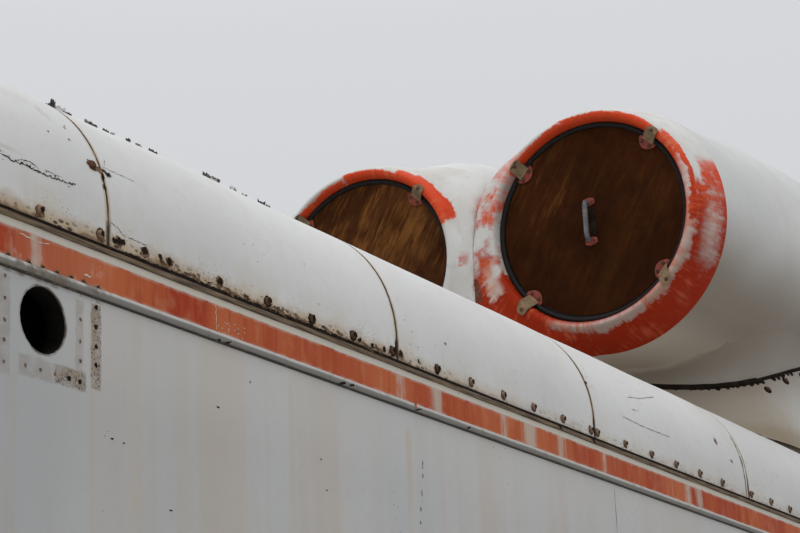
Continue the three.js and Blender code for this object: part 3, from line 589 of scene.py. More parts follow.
RUST_METAL = plain("rusty_steel", (0.13, 0.06, 0.03), (0.04, 0.02, 0.012), 60, (0.7, 0.95))
FLAKE_GREY = plain("flake_grey", (0.035, 0.032, 0.03), (0.13, 0.12, 0.11), 90, (0.7, 0.9))
FLAKE_PALE = plain("flake_pale", (0.36, 0.34, 0.3), (0.16, 0.14, 0.12), 90, (0.6, 0.8))
SCREW_BROWN = plain("screw_brown", (0.13, 0.07, 0.038), (0.27, 0.175, 0.11), 110, (0.5, 0.75))
CLIP_TAN = plain("clip_tan", (0.25, 0.17, 0.095), (0.16, 0.105, 0.058), 30, (0.55, 0.8))
GRIP_GREY = plain("grip_grey", (0.09, 0.09, 0.095), (0.16, 0.155, 0.16), 30, (0.35, 0.6))
RUST_STAIN = plain("rust_smear", (0.2, 0.115, 0.06), (0.07, 0.038, 0.022), 70, (0.7, 0.95))
# Black for dirt, cracks, sealant and joints, and for painted shade on and about screw heads, behind the intake grip and
# in the deck's joint.
DARK_DIRT_AND_SHADE = plain("seam_shadow", (0.009, 0.006, 0.005), (0.026, 0.018, 0.012), 30, (0.8, 0.95),
                  Specular_IOR_Level=0.05)
LEDGE_TAN = plain("ledge_tan", (0.055, 0.034, 0.02), (0.21, 0.15, 0.092), 1, stretch=(8, 30, 160), rough=(0.6, 0.85),
                  dust=0.05)


def bead_paint_and_shade():
    """Painted light and shade on the round bead: pale on its upper half, grey below and dark at its foot, with dirt
    over it.
    """
    g = Graph("bead_paint_and_shade")
    z = g.z + g.swing(1.0, 3, stretch=(5, 30, 60)) * 0.005
    # Painted highlight on the upper half, painted shade below it, and a painted shadow line at the foot.
    color = g.mix(g.step(z, 2.7835, 2.7875), (0.2, 0.19, 0.17), (0.42, 0.41, 0.385))
    color = g.mix(g.step(z, 2.7745, 2.7715), color, (0.05, 0.042, 0.034))
    color = g.mix(g.step(g.noise(34, 4), 0.55, 0.72) * 0.5, color, (0.17, 0.14, 0.11))
    ahead = g.most(g.band(g.x, 4.01, 4.22, 0.02), g.band(g.x, 3.89, 3.965, 0.01)) * g.step(g.y, 0.0, 0.1)
    color = g.mix(ahead * g.step(g.noise(45, 4), 0.38, 0.58) * 0.75, color, (0.13, 0.1, 0.07))
    return g.finish(color, 0.6, bump=g.noise(60, 3), Specular_IOR_Level=0.15)


BEAD_SHADED = bead_paint_and_shade()


def glass(name, color, alpha):
    g = Graph(name)
    dusty = g.step(g.noise(3.5, 5), 0.4, 0.75) * 0.35
    tone = g.mix(dusty, color, (0.3, 0.28, 0.25))
    return g.finish(tone, g.step(g.noise(5, 3), 0.3, 0.7, 0.04, 0.16), Alpha=alpha, Specular_IOR_Level=0.6)


REFLECTOR = plain("reflector", (0.62, 0.62, 0.6), (0.5, 0.49, 0.46), 9, (0.12, 0.3), metal=1.0, dust=0.1)
WINDOW = glass("window_tint", (0.015, 0.02, 0.024), 0.78)
LENS = glass("lamp_lens", (0.3, 0.31, 0.31), 0.22)


# Zones of orange paint round an intake, on, and worn off again. Columns: from and to which angle in degrees (0 is
# outboard, 90 is up), from and to which reach inwards from the lip, softness of angle and reach, and amount.
NEAR_ON = (
    (-160, 4, -0.1, 0.5), (2, 9, -0.1, 0.222), (8, 102, -0.1, 0.040), (98, 142, -0.1, 0.021), (45, 72, -0.1, 0.052),
    (125, 149, -0.1, 0.25, 4, 0.016, 0.50), (-4, 23, 0.150, 0.40, 9, 0.035, 0.75),
)
NEAR_BELOW = ((147, 200, -0.1, 0.5, 6), (-200, -158, -0.1, 0.5, 6))
NEAR_STREAK = (-14, 41, 0.036, 0.088, 5, 0.014, 0.95)
NEAR_OFF = (
    (-166, -148, 0.033, 0.135, 4, 0.03, 0.75), (-30, 4, 0.130, 0.290, 15, 0.09, 0.58),
    (-118, 24, 0.004, 0.080, 9, 0.046, 0.68), (28, 60, 0.06, 0.3, 5, 0.02, 0.9),
)
FAR_ON = (
    (17, 53, -0.1, 0.120, 3), (50, 64, -0.1, 0.085, 3), (62, 98, -0.1, 0.040), (95, 200, -0.1, 0.016, 4, 0.016, 0.9),
    (-9, -1, 0.085, 0.150, 3, 0.02, 0.46), (-62, 10, -0.1, 0.014, 4, 0.016, 0.6),
    (-200, -62, -0.1, 0.05, 4, 0.016, 0.7), (-22, -10, 0.171, 0.29, 3, 0.03, 0.5),
    (-9, 2, 0.27, 0.5, 4, 0.016, 0.6), (-150, -70, 0.0, 0.5, 6, 0.016, 0.55),
)


def cowl_paint(side, centre, out, near):
    """Orange paint round an intake's lip, brushed on thinly and worn off to the white in patches, with painted shade
    low down and where it faces down.
    """
    g = Graph(f"cowl_paint_{side}")
    across = (g.y - centre) * out
    up = g.z - ENGINE_Z
    radius = g.math("SQRT", across * across + up * up)
    angle = g.math("ARCTAN2", up, across) * math.degrees(1)
    within = g.step(radius, 0.4692, 0.4684, 1.0, -1.0)
    reach = radius - 0.45 + within * (-0.3 - g.x)
    spread = {0: across / radius * 24.0, 1: up / radius * 24.0, 2: reach * 4.0}
    brush = g.swing(1.0, 4, rough=0.7, vector=g.node("ShaderNodeCombineXYZ", spread).outputs[0])
    cloud = g.swing(5.5, 4, rough=0.6)
    ragged = g.swing(9, 5, rough=0.65)
    fine = g.swing(42, 4, rough=0.7)
    turn = angle + ragged * 16.0 + fine * 7.0
    depth = reach + ragged * 0.07 + fine * 0.035 + brush * 0.035 + cloud * 0.05

    def zone(low, high, start, stop, soft_turn=4.0, soft_reach=0.016, amount=1.0):
        return g.band(turn, low, high, soft_turn) * g.band(depth, start, stop, soft_reach) * amount

    def zones(table):
        return g.most(*(zone(*row) for row in table))

    end = g.step(reach, 0.331, 0.326)
    if near:
        on = g.most(zones(NEAR_ON), zones(NEAR_BELOW) * (0.3 + cloud * 2.8))
        off = zones(NEAR_OFF)
        mask = g.most(on - off * on, zone(*NEAR_STREAK))
    else:
        on, off = zones(FAR_ON), 0.0
        mask = on - off * on
    worn = brush * 0.9 + cloud * 0.8 + ragged * 0.9 + fine * 0.5
    keep = g.step(mask + worn * 0.75, 0.16, 0.84) * g.step(g.most(on, mask), 0.03, 0.2) * end
    white = g.mix(g.step(g.noise(5, 4), 0.35, 0.7), (0.6, 0.595, 0.57), (0.53, 0.51, 0.47))
    blush = g.step(brush + ragged * 0.5, 0.08, 0.3) * g.step(reach, 0.42, 0.3) * 0.5
    rubbed = g.step(cloud + brush * 0.8, -0.12, 0.12, 0.45, 0.95)
    blush = g.most(blush, g.step(on, 0.3, 0.9) * g.step(off, 0.05, 0.6) * rubbed)
    white = g.mix(blush, white, (0.6, 0.3, 0.22))
    # Painted shade: the orange turns deeper towards the bottom of the lip.
    lower_shade = g.step(up + ragged * 0.5 + brush * 0.4, 0.22, -0.2)
    orange = g.mix(lower_shade, (0.6, 0.058, 0.016), (0.3, 0.02, 0.0025))
    faded = g.step(brush + cloud, 0.04, 0.3) * g.step(depth, 0.2, 0.03, 0.35, 0.85)
    orange = g.mix(faded, orange, (0.62, 0.15, 0.065))
    orange = g.mix(g.step(fine, 0.08, 0.2) * 0.45, orange, (0.2, 0.014, 0.003))
    color = g.mix(keep, white, orange)
    if near:
        color = g.mix(zone(-165, -156, 0.165, 0.225, 2, 0.01, 0.85), color, (0.09, 0.028, 0.014))
    else:
        color = g.mix(zone(-19, -13, 0.18, 0.28, 2, 0.01, 0.8), color, (0.12, 0.035, 0.02))
    # Painted shade: the white darkens and browns where the cowl faces down.
    low = g.step(g.facing_up(), 0.1, -0.7)
    color = g.mix(low * (1.0 - keep) * 0.85, color, (0.25, 0.21, 0.165))
    color = g.mix(g.step(g.noise(16, 5), 0.55, 0.78) * 0.25, color, (0.16, 0.09, 0.06))
    return g.finish(color, g.step(ragged, -0.2, 0.2, 0.5, 0.7), bump=fine + brush * 0.6, depth=0.0012,
                    Specular_IOR_Level=0.1)


def board(name, warm):
    """Dark weathered board behind the seal, with ochre grain that runs aslant."""
    g = Graph(name)
    turn = g.mapped(g.place, Rotation=(radians(30), 0, 0))
    grain = g.noise(1.6, 7, stretch=(1, 26, 3.4), rough=0.72, vector=turn)
    broad = g.noise(1.4, 7, stretch=(1, 7, 1.6), rough=0.72, vector=turn)
    blotch = g.noise(2.6, 4)
    up = g.step(g.z - ENGINE_Z + (blotch - 0.5) * 0.6, -0.1, 0.25)
    dark = (0.024 + 0.014 * warm, 0.0064 + 0.006 * warm, 0.0014 + 0.002 * warm)
    light = (0.04 + 0.03 * warm, 0.0105 + 0.014 * warm, 0.0026 + 0.005 * warm)
    color = g.mix(g.step(g.noise(7, 5, rough=0.7), 0.3, 0.7), dark, light)
    color = g.mix(g.step(grain, 0.4, 0.7) * (0.16 + 0.2 * warm), color, (0.08, 0.027, 0.007))
    left = g.step(g.y + (blotch - 0.5) * 0.5, ENGINE_PITCH + 0.05, ENGINE_PITCH - 0.22) if warm < 0.5 else 1.0
    glow = g.step(grain * 0.6 + broad * 0.4, 0.49, 0.66) * up * left
    mottle = grain * 0.3 + broad * 0.35 + blotch * 0.35
    glow = g.most(glow, g.step(mottle, 0.48, 0.62) * (0.05 + 0.7 * warm))
    color = g.mix(glow * (0.5 + 0.3 * warm), color, (0.23 + 0.02 * warm, 0.1, 0.024))
    worn = g.step(g.noise(5, 5, rough=0.7), 0.58, 0.74) * 0.3
    color = g.mix(worn, color, (0.045, 0.034, 0.026))
    color = g.mix(g.step(broad, 0.48, 0.3) * 0.5, color, (0.013, 0.0045, 0.0018))
    color = g.mix(g.step(up + blotch * 0.5, 0.5, 0.1) * (0.45 * (1 - warm)), color, (0.014, 0.0042, 0.001))
    return g.finish(color, g.step(grain, 0.3, 0.7, 0.6, 0.85), bump=grain, depth=0.002, Specular_IOR_Level=0.03)


BOARD, FAR_BOARD = board("cover_board", 0.1), board("cover_board_warm", 1.0)

# Roof edges: rolled panels that butt at the seams, each with a little waviness.
ENDS = (BODY_X[1], *SEAMS, BODY_X[0])
PHASES = RNG.uniform(0, 6.28, (len(ENDS), 2))
ARC = STRAIGHT + EDGE_R * pi / 2


def edge_point(sign, x, arc, lift=0.0):
    """A place on the roof edge: x along the car, arc up from the seam, lift off the panel."""
    i = min(sum(x < end for end in ENDS[1:-1]), len(ENDS) - 2)
    t, k = (ENDS[i] - x) / (ENDS[i] - ENDS[i + 1]), arc / ARC
    push = (0.0022 * sin(pi * t) + 0.0012 * sin(9 * t + PHASES[i][0])) * sin(pi * k)
    push += 0.0008 * sin(11 * t + 5 * k + PHASES[i][1]) * sin(pi * k) + lift
    a = max(arc - STRAIGHT, 0) / EDGE_R
    y, z = FLAT_Y + EDGE_R * cos(a), EDGE_Z + EDGE_R * sin(a) + min(arc - STRAIGHT, 0)
    return (x, sign * (y + push * cos(a)), z + push * sin(a))


def wall_point(sign, x, z, lift=0.0):
    return (x, sign * (HALF + lift), z)


for side, sign in SIDES.items():
    pile = Pile()
    arcs = [0.002, 0.022, 0.043, *linspace(STRAIGHT, ARC, 24)]
    for front, rear in zip(ENDS, ENDS[1:]):
        rings = []
        for x in linspace(front - 0.0014, rear + 0.0014, max(int((front - rear) / 0.03), 6)):
            x = min(max(x, rear + 1e-6), front)
            outer, inner = ([edge_point(sign, x, arc, lift) for arc in arcs] for lift in (0.0, -0.012))
            rings.append(outer + inner[::-1])
        pile.add(*ring_loft(rings))
    edge = EDGE_LEFT if side == "left" else EDGE_RIGHT
    pile.make(f"roof_edge_skin_{side}", edge, "body_paint", parts=[f"roof_edge_{side}"])

# A dark backing behind the panel joints, the ledge under the panels and the bead below the stripe.
LEDGE = ((0.0, 2.8835), (0.0042, 2.8845), (0.0046, 2.889), (0.004, 2.8965), (0.0, LEDGE_TOP))
BEAD = [(max(0.01 * cos(a) ** 0.8, 0), 0.0135 * sin(a)) for a in linspace(-1.57, 1.57, 11)]
for side, sign in SIDES.items():
    seam, ledge, bead = Pile(), Pile(), Pile()
    back, front = sign * (HALF - 0.02), sign * (HALF + 0.0006)
    seam.add(*box_at((BODY_X[0], back, LEDGE_TOP), (BODY_X[1], front, SEAM_Z + 0.0015)))
    for x in SEAMS:
        line = np.array([edge_point(sign, x, arc, -0.004) for arc in linspace(0.0, ARC, 30)])
        seam.add_strip([line - (0.004, 0, 0), line + (0.004, 0, 0)])
    xs = linspace(*BODY_X, 240)
    wander = [0.0006 * sin(5 * x) + 0.0005 * sin(17 * x) for x in xs]
    ledge.add(*ring_loft([[(x, sign * (HALF + out), z + w) for out, z in LEDGE] for x, w in zip(xs, wander)]))
    bead.add(*ring_loft([[(x, sign * (HALF + out), BEAD_Z + up) for out, up in BEAD] for x in xs]))
    seam.make(f"seam_line_{side}", DARK_DIRT_AND_SHADE, "seal_rubber", smooth=False)
    ledge.make(f"edge_ledge_{side}", LEDGE_TAN, "body_paint", smooth=False)
    bead.make(f"bead_{side}", BEAD_SHADED, "body_paint")


# Fasteners, and the marks of age: screws, holes, smears, cracks and what is left of tape and sealant.
def dome(radius, height, sides=12):
    """(verts, faces) of a round head with a small dimple."""
    profile = ((1.0, 0.0), (0.95, 0.45), (0.75, 0.8), (0.45, 0.97), (0.3, 0.7))
    return ring_loft([[(radius * k * c, radius * k * s, height * h) for c, s in around(sides)] for k, h in profile])


def patch(pile, place, sign, u, v, half_u, half_v, turn=0.0, rough=0.3, points=14, lift=0.0008):
    """A flat ragged mark on a surface."""
    a = linspace(0, 2 * np.pi, points, endpoint=False)
    r = 1 + RNG.uniform(-rough, rough, points)
    du, dv = half_u * r * np.cos(a), half_v * r * np.sin(a)
    du, dv = du * cos(turn) - dv * sin(turn), du * sin(turn) + dv * cos(turn)
    verts = [place(sign, u, v, lift)] + [place(sign, u + p, v + q, lift) for p, q in zip(du, dv)]
    pile.add(verts, [(0, i + 1, (i + 1) % points + 1) for i in range(points)])


def scratch(pile, place, sign, points, width, wander=0.0015, lift=0.0009, step=0.006):
    """A thin ragged line through (u, v) points."""
    points = np.array(points, float)
    along = lengths(points)
    n = max(int(along[-1] / step), 2)
    at = linspace(0, along[-1], n + 1)
    u, v = (np.interp(at, along, points[:, k]) + RNG.uniform(-wander, wander, n + 1) for k in (0, 1))
    du, dv = np.gradient(u), np.gradient(v)
    size = np.hypot(du, dv) + 1e-9
    half = width / 2 * RNG.uniform(0.35, 1.3, n + 1)
    half[[0, -1]] *= 0.2
    across, up = -half * dv / size, half * du / size
    pile.add_strip([[place(sign, a, b, lift) for a, b in zip(u + k * across, v + k * up)] for k in (1, -1)])


def on_side(x, y, z, sign):
    """A place on a side wall, with local Z pointing out and local Y up."""
    return Matrix(((-sign, 0, 0, x), (0, 0, sign, y), (0, 1, 0, z), (0, 0, 0, 1)))


# Along the left seam: where heads are whole, dark with rust, or gone. The rest of the car follows the same pitch.
HEADS = (4.107, 3.9, 2.18, 1.98, 1.782, 1.58, 1.378, 1.33, 1.115, 0.9, 0.69, 0.478, 0.268)
DARK = (3.235, 3.033, 2.832, 2.628, 2.38)
LOST = 3.438
GONE = (3.83, 3.735, 3.64, LOST, 2.58)
# Left side's marks. Columns: place along the car, height (arc up from the seam, or z), half width and half height.
EDGE_HOLES = (
    (3.845, 0.021, 0.010, 0.007), (3.817, 0.026, 0.011, 0.0055), (3.675, 0.026, 0.007, 0.008),
    (2.483, 0.022, 0.005, 0.005), (2.795, 0.016, 0.010, 0.006), (2.732, 0.014, 0.008, 0.007),
    (2.668, 0.018, 0.007, 0.009), (2.606, 0.035, 0.0035, 0.034), (1.350, 0.033, 0.0035, 0.033),
    (1.340, 0.195, 0.006, 0.005), (0.030, 0.140, 0.004, 0.140), (3.870, 0.175, 0.005, 0.012),
    (3.872, 0.146, 0.006, 0.008), (3.845, 0.188, 0.011, 0.006), (3.858, 0.195, 0.008, 0.005),
)
EDGE_RUST = (
    (3.660, 0.012, 0.018, 0.006), (3.540, 0.008, 0.020, 0.005), (3.400, 0.006, 0.030, 0.006),
    (3.320, 0.010, 0.016, 0.006), (3.180, 0.008, 0.030, 0.006), (3.100, 0.014, 0.012, 0.006),
    (2.960, 0.008, 0.030, 0.005), (2.900, 0.012, 0.014, 0.006), (2.760, 0.006, 0.035, 0.005),
    (2.700, 0.010, 0.020, 0.007), (3.952, 0.290, 0.005, 0.002), (3.960, 0.248, 0.004, 0.0022),
    (4.032, 0.246, 0.003, 0.0018), (3.945, 0.300, 0.0025, 0.002), (0.250, 0.188, 0.012, 0.012),
    (0.140, 0.125, 0.010, 0.005), (2.318, 0.110, 0.006, 0.003),
)
WALL_CHIPS = (
    (2.487, 2.632, 0.002, 0.007), (2.490, 2.620, 0.002, 0.004), (2.490, 2.595, 0.002, 0.006),
    (2.500, 2.545, 0.002, 0.008), (2.510, 2.498, 0.002, 0.006), (2.515, 2.460, 0.002, 0.005),
    (3.456, 2.608, 0.006, 0.002), (3.318, 2.698, 0.002, 0.003), (3.645, 2.330, 0.007, 0.002),
    (3.008, 2.555, 0.003, 0.003), (2.985, 2.478, 0.004, 0.002), (3.415, 2.787, 0.005, 0.002),
    (3.395, 2.790, 0.002, 0.002), (3.855, 2.460, 0.005, 0.002), (3.815, 2.457, 0.004, 0.002),
)
BEAD_CHIPS = (
    (2.905, 2.776, 0.020), (2.860, 2.780, 0.012), (2.515, 2.778, 0.016), (2.225, 2.779, 0.012),
    (3.420, 2.775, 0.012), (3.458, 2.772, 0.006),
)
# Screw places round the hole: rusty ones under the tape's edge, and black ones.
RUSTY_PLACES = (
    (4.213, 2.750), (4.213, 2.702), (4.213, 2.654), (4.213, 2.610), (4.213, 2.562), (3.966, 2.71),
    (3.966, 2.66), (3.966, 2.615), (4.145, 2.568), (4.097, 2.568), (4.050, 2.568),
)
BLACK_PLACES = ((4.003, 2.568), (3.967, 2.568), (3.912, 2.705), (3.912, 2.66), (3.912, 2.617), (3.912, 2.75))
UNDER_STRIPE = (4.205, 4.138, 4.092, 4.045, 3.998, 3.956, 3.905)
LONG_CRACK = ((4.232, 0.117), (4.19, 0.112), (4.14, 0.114), (4.09, 0.111), (4.03, 0.113), (3.978, 0.118))
SEAM_SCRATCH = ((3.83, 0.001), (3.4, 0.0015), (3.2, 0.003), (2.95, 0.002), (2.62, 0.001))
SHORT_CRACKS = (
    ("black", 0.0020, ((4.17, 0.122), (4.13, 0.128), (4.105, 0.12))),
    ("black", 0.0018, ((4.085, 0.124), (4.03, 0.121))),
    ("black", 0.0016, ((3.80, 0.042), (3.72, 0.040))),
    ("rust", 0.0016, ((3.862, 0.063), (3.835, 0.055), (3.81, 0.04))),
    ("rust", 0.0022, ((3.85, 0.212), (3.838, 0.235))),
    ("rust", 0.0013, ((3.86, 0.206), (3.735, 0.204))),
    ("rust", 0.0022, ((1.11, 0.118), (0.90, 0.112), (0.72, 0.115))),
    ("rust", 0.0022, ((1.01, 0.165), (0.96, 0.168))),
    ("rust", 0.0022, ((1.0, 0.215), (0.88, 0.235), (0.70, 0.285))),
)
STRIPE_SCRATCHES = (
    (0.0040, ((3.955, 2.8185), (3.938, 2.8165), (3.925, 2.8195))),
    (0.0025, ((4.17, 2.857), (4.10, 2.852), (4.07, 2.858))),
    (0.0022, ((3.457, 2.866), (3.456, 2.80))),
)


def seam_screws(piles, sign, whole, rusty, gone):
    """Heads along the seam, with their shades, a dark patch on each (on a whole head, rust and painted shade of its
    recess), and stained holes where heads are gone.
    """
    black, arc = piles["black"], 0.022
    for x in whole + rusty:
        y, z = sign * (HALF + 0.0012), SEAM_Z + arc + RNG.uniform(-0.002, 0.002)
        shade = black if x not in whole else piles["shade"]
        patch(shade, edge_point, sign, x - 0.002, arc - 0.001, 0.0165, 0.0155, rough=0.16, lift=0.0009)
        piles["whole" if x in whole else "dark"].add(*dome(0.0108, 0.007, 14), on_side(x, y, z, sign))
        if x in whole:
            # Dark patch on the head's aft half: rust, with painted shade of the head's recess.
            patch(black, edge_point, sign, x - 0.0035, arc + 0.001, 0.0062, 0.0078, lift=0.0085)
            if x > 3:
                patch(piles["rust"], edge_point, sign, x - 0.004, arc - 0.01, 0.013, 0.006, lift=0.0011)
        else:
            patch(black, edge_point, sign, x - 0.002, arc, 0.009, 0.009, lift=0.0087)
    for x in gone:
        patch(piles["rust"], edge_point, sign, x, arc, 0.0155, 0.0135, rough=0.25)
        patch(black, edge_point, sign, x, arc + 0.001, 0.0105, 0.0092, lift=0.0012)


def left_marks(black, rust, grey, dark):
    """The marks that the photograph shows: on the roof's edge, round the hole, on the bead and on the stripe."""
    for spot in EDGE_HOLES:
        patch(black, edge_point, 1, *spot, rough=0.4, lift=0.0013)
    for spot in EDGE_RUST:
        patch(rust, edge_point, 1, *spot, turn=0.3, rough=0.45, lift=0.001)
    x, arc = 3.903, 0.195
    tilt = (arc - STRAIGHT) / EDGE_R - pi / 2
    place = Matrix.Translation(edge_point(1, x, arc, 0.0005)) @ Matrix.Rotation(tilt, 4, "X")
    dark.add(*dome(0.0125, 0.008, 14), place)
    patch(rust, edge_point, 1, x, arc, 0.017, 0.015, lift=0.0004)
    patch(rust, edge_point, 1, 3.88, 0.191, 0.014, 0.008, lift=0.0011)
    scratch(black, edge_point, 1, LONG_CRACK, 0.003, wander=0.0026, step=0.004)
    for _ in range(34):
        x, arc = RNG.uniform(3.99, 4.24), 0.1135 + RNG.normal(0.003, 0.004)
        patch(black, edge_point, 1, x, arc, RNG.uniform(0.001, 0.004), 0.0012, rough=0.5, points=7)
    for k in range(300):
        x, arc = RNG.triangular(2.6, 3.25, 3.84), 0.001 + abs(RNG.normal(0.0, 0.0085))
        size = RNG.uniform(0.0008, 0.0026)
        half = (size * RNG.uniform(0.8, 2.4), size * 0.75)
        patch(rust if k % 3 else black, edge_point, 1, x, arc, *half, turn=-0.2, rough=0.5, points=7, lift=0.0012)
    scratch(black, edge_point, 1, SEAM_SCRATCH, 0.0045, wander=0.001)
    for k in range(9):
        x, arc = 4.225 - 0.026 * k + RNG.uniform(-0.008, 0.008), 0.36 + RNG.uniform(-0.03, 0.03)
        scratch(grey, edge_point, 1, [(x, arc), (x - 0.022, arc - RNG.uniform(0.03, 0.07))], 0.0012, lift=0.0007)
    for tone, width, line in SHORT_CRACKS:
        scratch(black if tone == "black" else rust, edge_point, 1, line, width)
    for x in UNDER_STRIPE:
        patch(rust, wall_point, 1, x, 2.7985, 0.0085, 0.0065, lift=0.001)
        patch(black, wall_point, 1, x, 2.7992, 0.0034, 0.003, lift=0.0012)
    for place in RUSTY_PLACES:
        patch(rust, wall_point, 1, *place, 0.0042, 0.0046, rough=0.35, lift=0.0007)
    for place in BLACK_PLACES:
        patch(black, wall_point, 1, *place, 0.0062, 0.0058, lift=0.0007)
    for spot in BEAD_CHIPS:
        patch(black, wall_point, 1, *spot, 0.003, turn=-0.3, rough=0.5, lift=0.0105)
    for spot in WALL_CHIPS:
        patch(black, wall_point, 1, *spot, rough=0.4, points=8, lift=0.0007)
    white, drip = Pile(), Pile()
    for width, line in STRIPE_SCRATCHES:
        scratch(white, wall_point, 1, line, width, lift=0.0008)
    for _ in range(26):
        x, z = RNG.normal(3.385, 0.028), RNG.normal(2.815, 0.012)
        if 2.8 < z < 2.862:
            patch(white, wall_point, 1, x, z, 0.003, 0.0012, turn=-0.6, rough=0.5, points=7, lift=0.0008)
    bare = plain("bare_white", (0.5, 0.43, 0.36), (0.56, 0.5, 0.43), 60, dust=0.25)
    white.make("stripe_scratches", bare, "body_paint", smooth=False)
    patch(drip, wall_point, 1, 2.527, 2.792, 0.005, 0.01, rough=0.3, lift=0.0105)
    orange = plain("drip_orange", (0.36, 0.06, 0.02), (0.28, 0.04, 0.015), 60, dust=0.25)
    drip.make("stripe_drip", orange, "body_paint", smooth=False)


for side, sign in SIDES.items():
    piles = {tone: Pile() for tone in ("whole", "dark", "rust", "black", "shade", "grey")}
    whole, rusty, gone = list(HEADS), list(DARK), GONE
    if side == "right":
        whole, rusty, gone = [x for x in (*HEADS, *DARK, *GONE) if x != LOST], [LOST], ()
    for front, rear in zip(SEAMS[3:], [*SEAMS[4:], -6.15]):
        for x in linspace(front - 0.024, rear + 0.024, 7):
            (whole if RNG.uniform() > 0.15 else rusty).append(float(x))
    seam_screws(piles, sign, whole, rusty, gone)
    if side == "left":
        left_marks(piles["black"], piles["rust"], piles["grey"], piles["dark"])
    for x in (1.61, 1.37, -0.9, -3.1):
        patch(piles["black"], wall_point, sign, x, 2.894, 0.016, 0.004, turn=0.5, rough=0.3, lift=0.006)
    piles["whole"].make(f"seam_screws_{side}", SCREW_BROWN, "body_paint")
    piles["shade"].make(f"screw_shades_{side}", RUST_METAL, "body_paint", smooth=False)
    piles["dark"].make(f"rusted_screws_{side}", RUST_METAL, "body_paint")
    if side == "left":
        piles["grey"].make("edge_scratches", FLAKE_PALE, "body_paint", smooth=False)
    piles["rust"].make(f"rust_stains_{side}", RUST_STAIN, "body_paint", smooth=False)
    piles["black"].make(f"black_marks_{side}", DARK_DIRT_AND_SHADE, "seal_rubber", smooth=False)

# Shreds of old sealant that stand up along the roof edge's crown, and a black lining in the hole, painted shade of its
# inside.
SHREDS = (
    (3.846, 0.010, 0.020, "dark"), (3.858, 0.022, 0.006, "dark"), (3.822, 0.034, 0.012, "pale"),
    (3.808, 0.020, 0.006, "dark"), (3.789, 0.010, 0.007, "dark"), (3.718, 0.014, 0.009, "tan"),
    (3.700, 0.030, 0.010, "dark"), (3.649, 0.014, 0.007, "dark"), (3.623, 0.012, 0.006, "tan"),
    (3.561, 0.014, 0.008, "dark"), (3.516, 0.022, 0.007, "tan"), (3.458, 0.026, 0.009, "dark"),
    (3.232, 0.026, 0.013, "dark"), (3.200, 0.030, 0.011, "tan"), (3.190, 0.016, 0.013, "dark"),
    (3.112, 0.020, 0.011, "pale"), (3.106, 0.012, 0.008, "dark"), (3.058, 0.010, 0.006, "dark"),
    (2.975, 0.024, 0.012, "dark"), (2.950, 0.020, 0.007, "tan"), (-0.675, 0.022, 0.007, "dark"),
    (-0.815, 0.034, 0.010, "dark"), (-0.830, 0.014, 0.007, "tan"), (-1.075, 0.045, 0.010, "dark"),
)
shreds = {"dark": Pile(), "tan": Pile(), "pale": Pile()}
for x, length, height, tone in SHREDS:
    for layer in range(2):
        arcs = [0.457 + 0.006 * layer + RNG.uniform(-0.004, 0.004) for _ in range(6)]
        base = [edge_point(1, x + length * k, arc, -0.001) for k, arc in zip(linspace(-0.5, 0.5, 6), arcs)]
        lean = RNG.uniform(-0.004, 0.004, (6, 2))
        tops = [
            (b[0] + d[0], b[1] + d[1] - 0.002, b[2] + height * 1.25 * RNG.uniform(0.4, 1.0)) for b, d in zip(base, lean)
        ]
        shreds[tone].add_strip([base, tops, [(b[0], b[1] - 0.004, b[2]) for b in base]])
for tone, material in (("dark", FLAKE_GREY), ("tan", FLAKE_PALE), ("pale", PAINT)):
    shreds[tone].make(f"crown_shreds_{tone}", material, "body_paint", smooth=False)


def hole_ring(y, r):
    return [(HOLE[0] + r * c, y, HOLE[1] + r * s) for c, s in around(64)]


# A black lining over the hole's rim and a black cup behind it: painted shade of the hole's inside.
liner = Pile()
rim = ((HALF - 0.0022, HOLE[2] - 0.0014), (HALF - 0.03, HOLE[2] - 0.0016), (HALF - 0.051, HOLE[2] - 0.0016))
liner.add(*ring_loft([hole_ring(*place) for place in rim], (False, False)))
cup = ((HALF - 0.051, HOLE[2] - 0.0016), (HALF - 0.13, 0.12), (HALF - 0.14, 0.001))
liner.add(*ring_loft([hole_ring(*place) for place in cup], (False, True)))
hole_shade = plain("hole_shade", (0.004, 0.0035, 0.003), (0.01, 0.008, 0.006), 14)
liner.make("hole_liner", hole_shade, "seal_rubber")


# Engine fairing, deck, intake cowls, seals, covers and nozzles.
def oval(row, high, angle):
    return 1 / hypot(cos(angle) / row[1], sin(angle) / (high if angle > 0 else row[1]))


def flared(row, high, angle):
    """Distance from an engine's axis to its nacelle, on a side that flares towards its neighbour."""
    upper, lower = atan2(row[4], MIDWAY), -atan2(row[5], MIDWAY)
    if not row[6] and lower <= angle <= upper:
        return MIDWAY / cos(angle)
    edge = upper if angle > upper else lower
    most = row[6] or MIDWAY / cos(edge)
    t = min(abs(angle - edge) / min(pi / 4, pi / 2 - abs(edge)), 1)
    return oval(row, high, angle) + (most - oval(row, high, edge)) * (1 - t * t * (3 - 2 * t))


def nacelle_row(x):
    return (x, *row_at(NACELLE, x)[:5], 0.0)


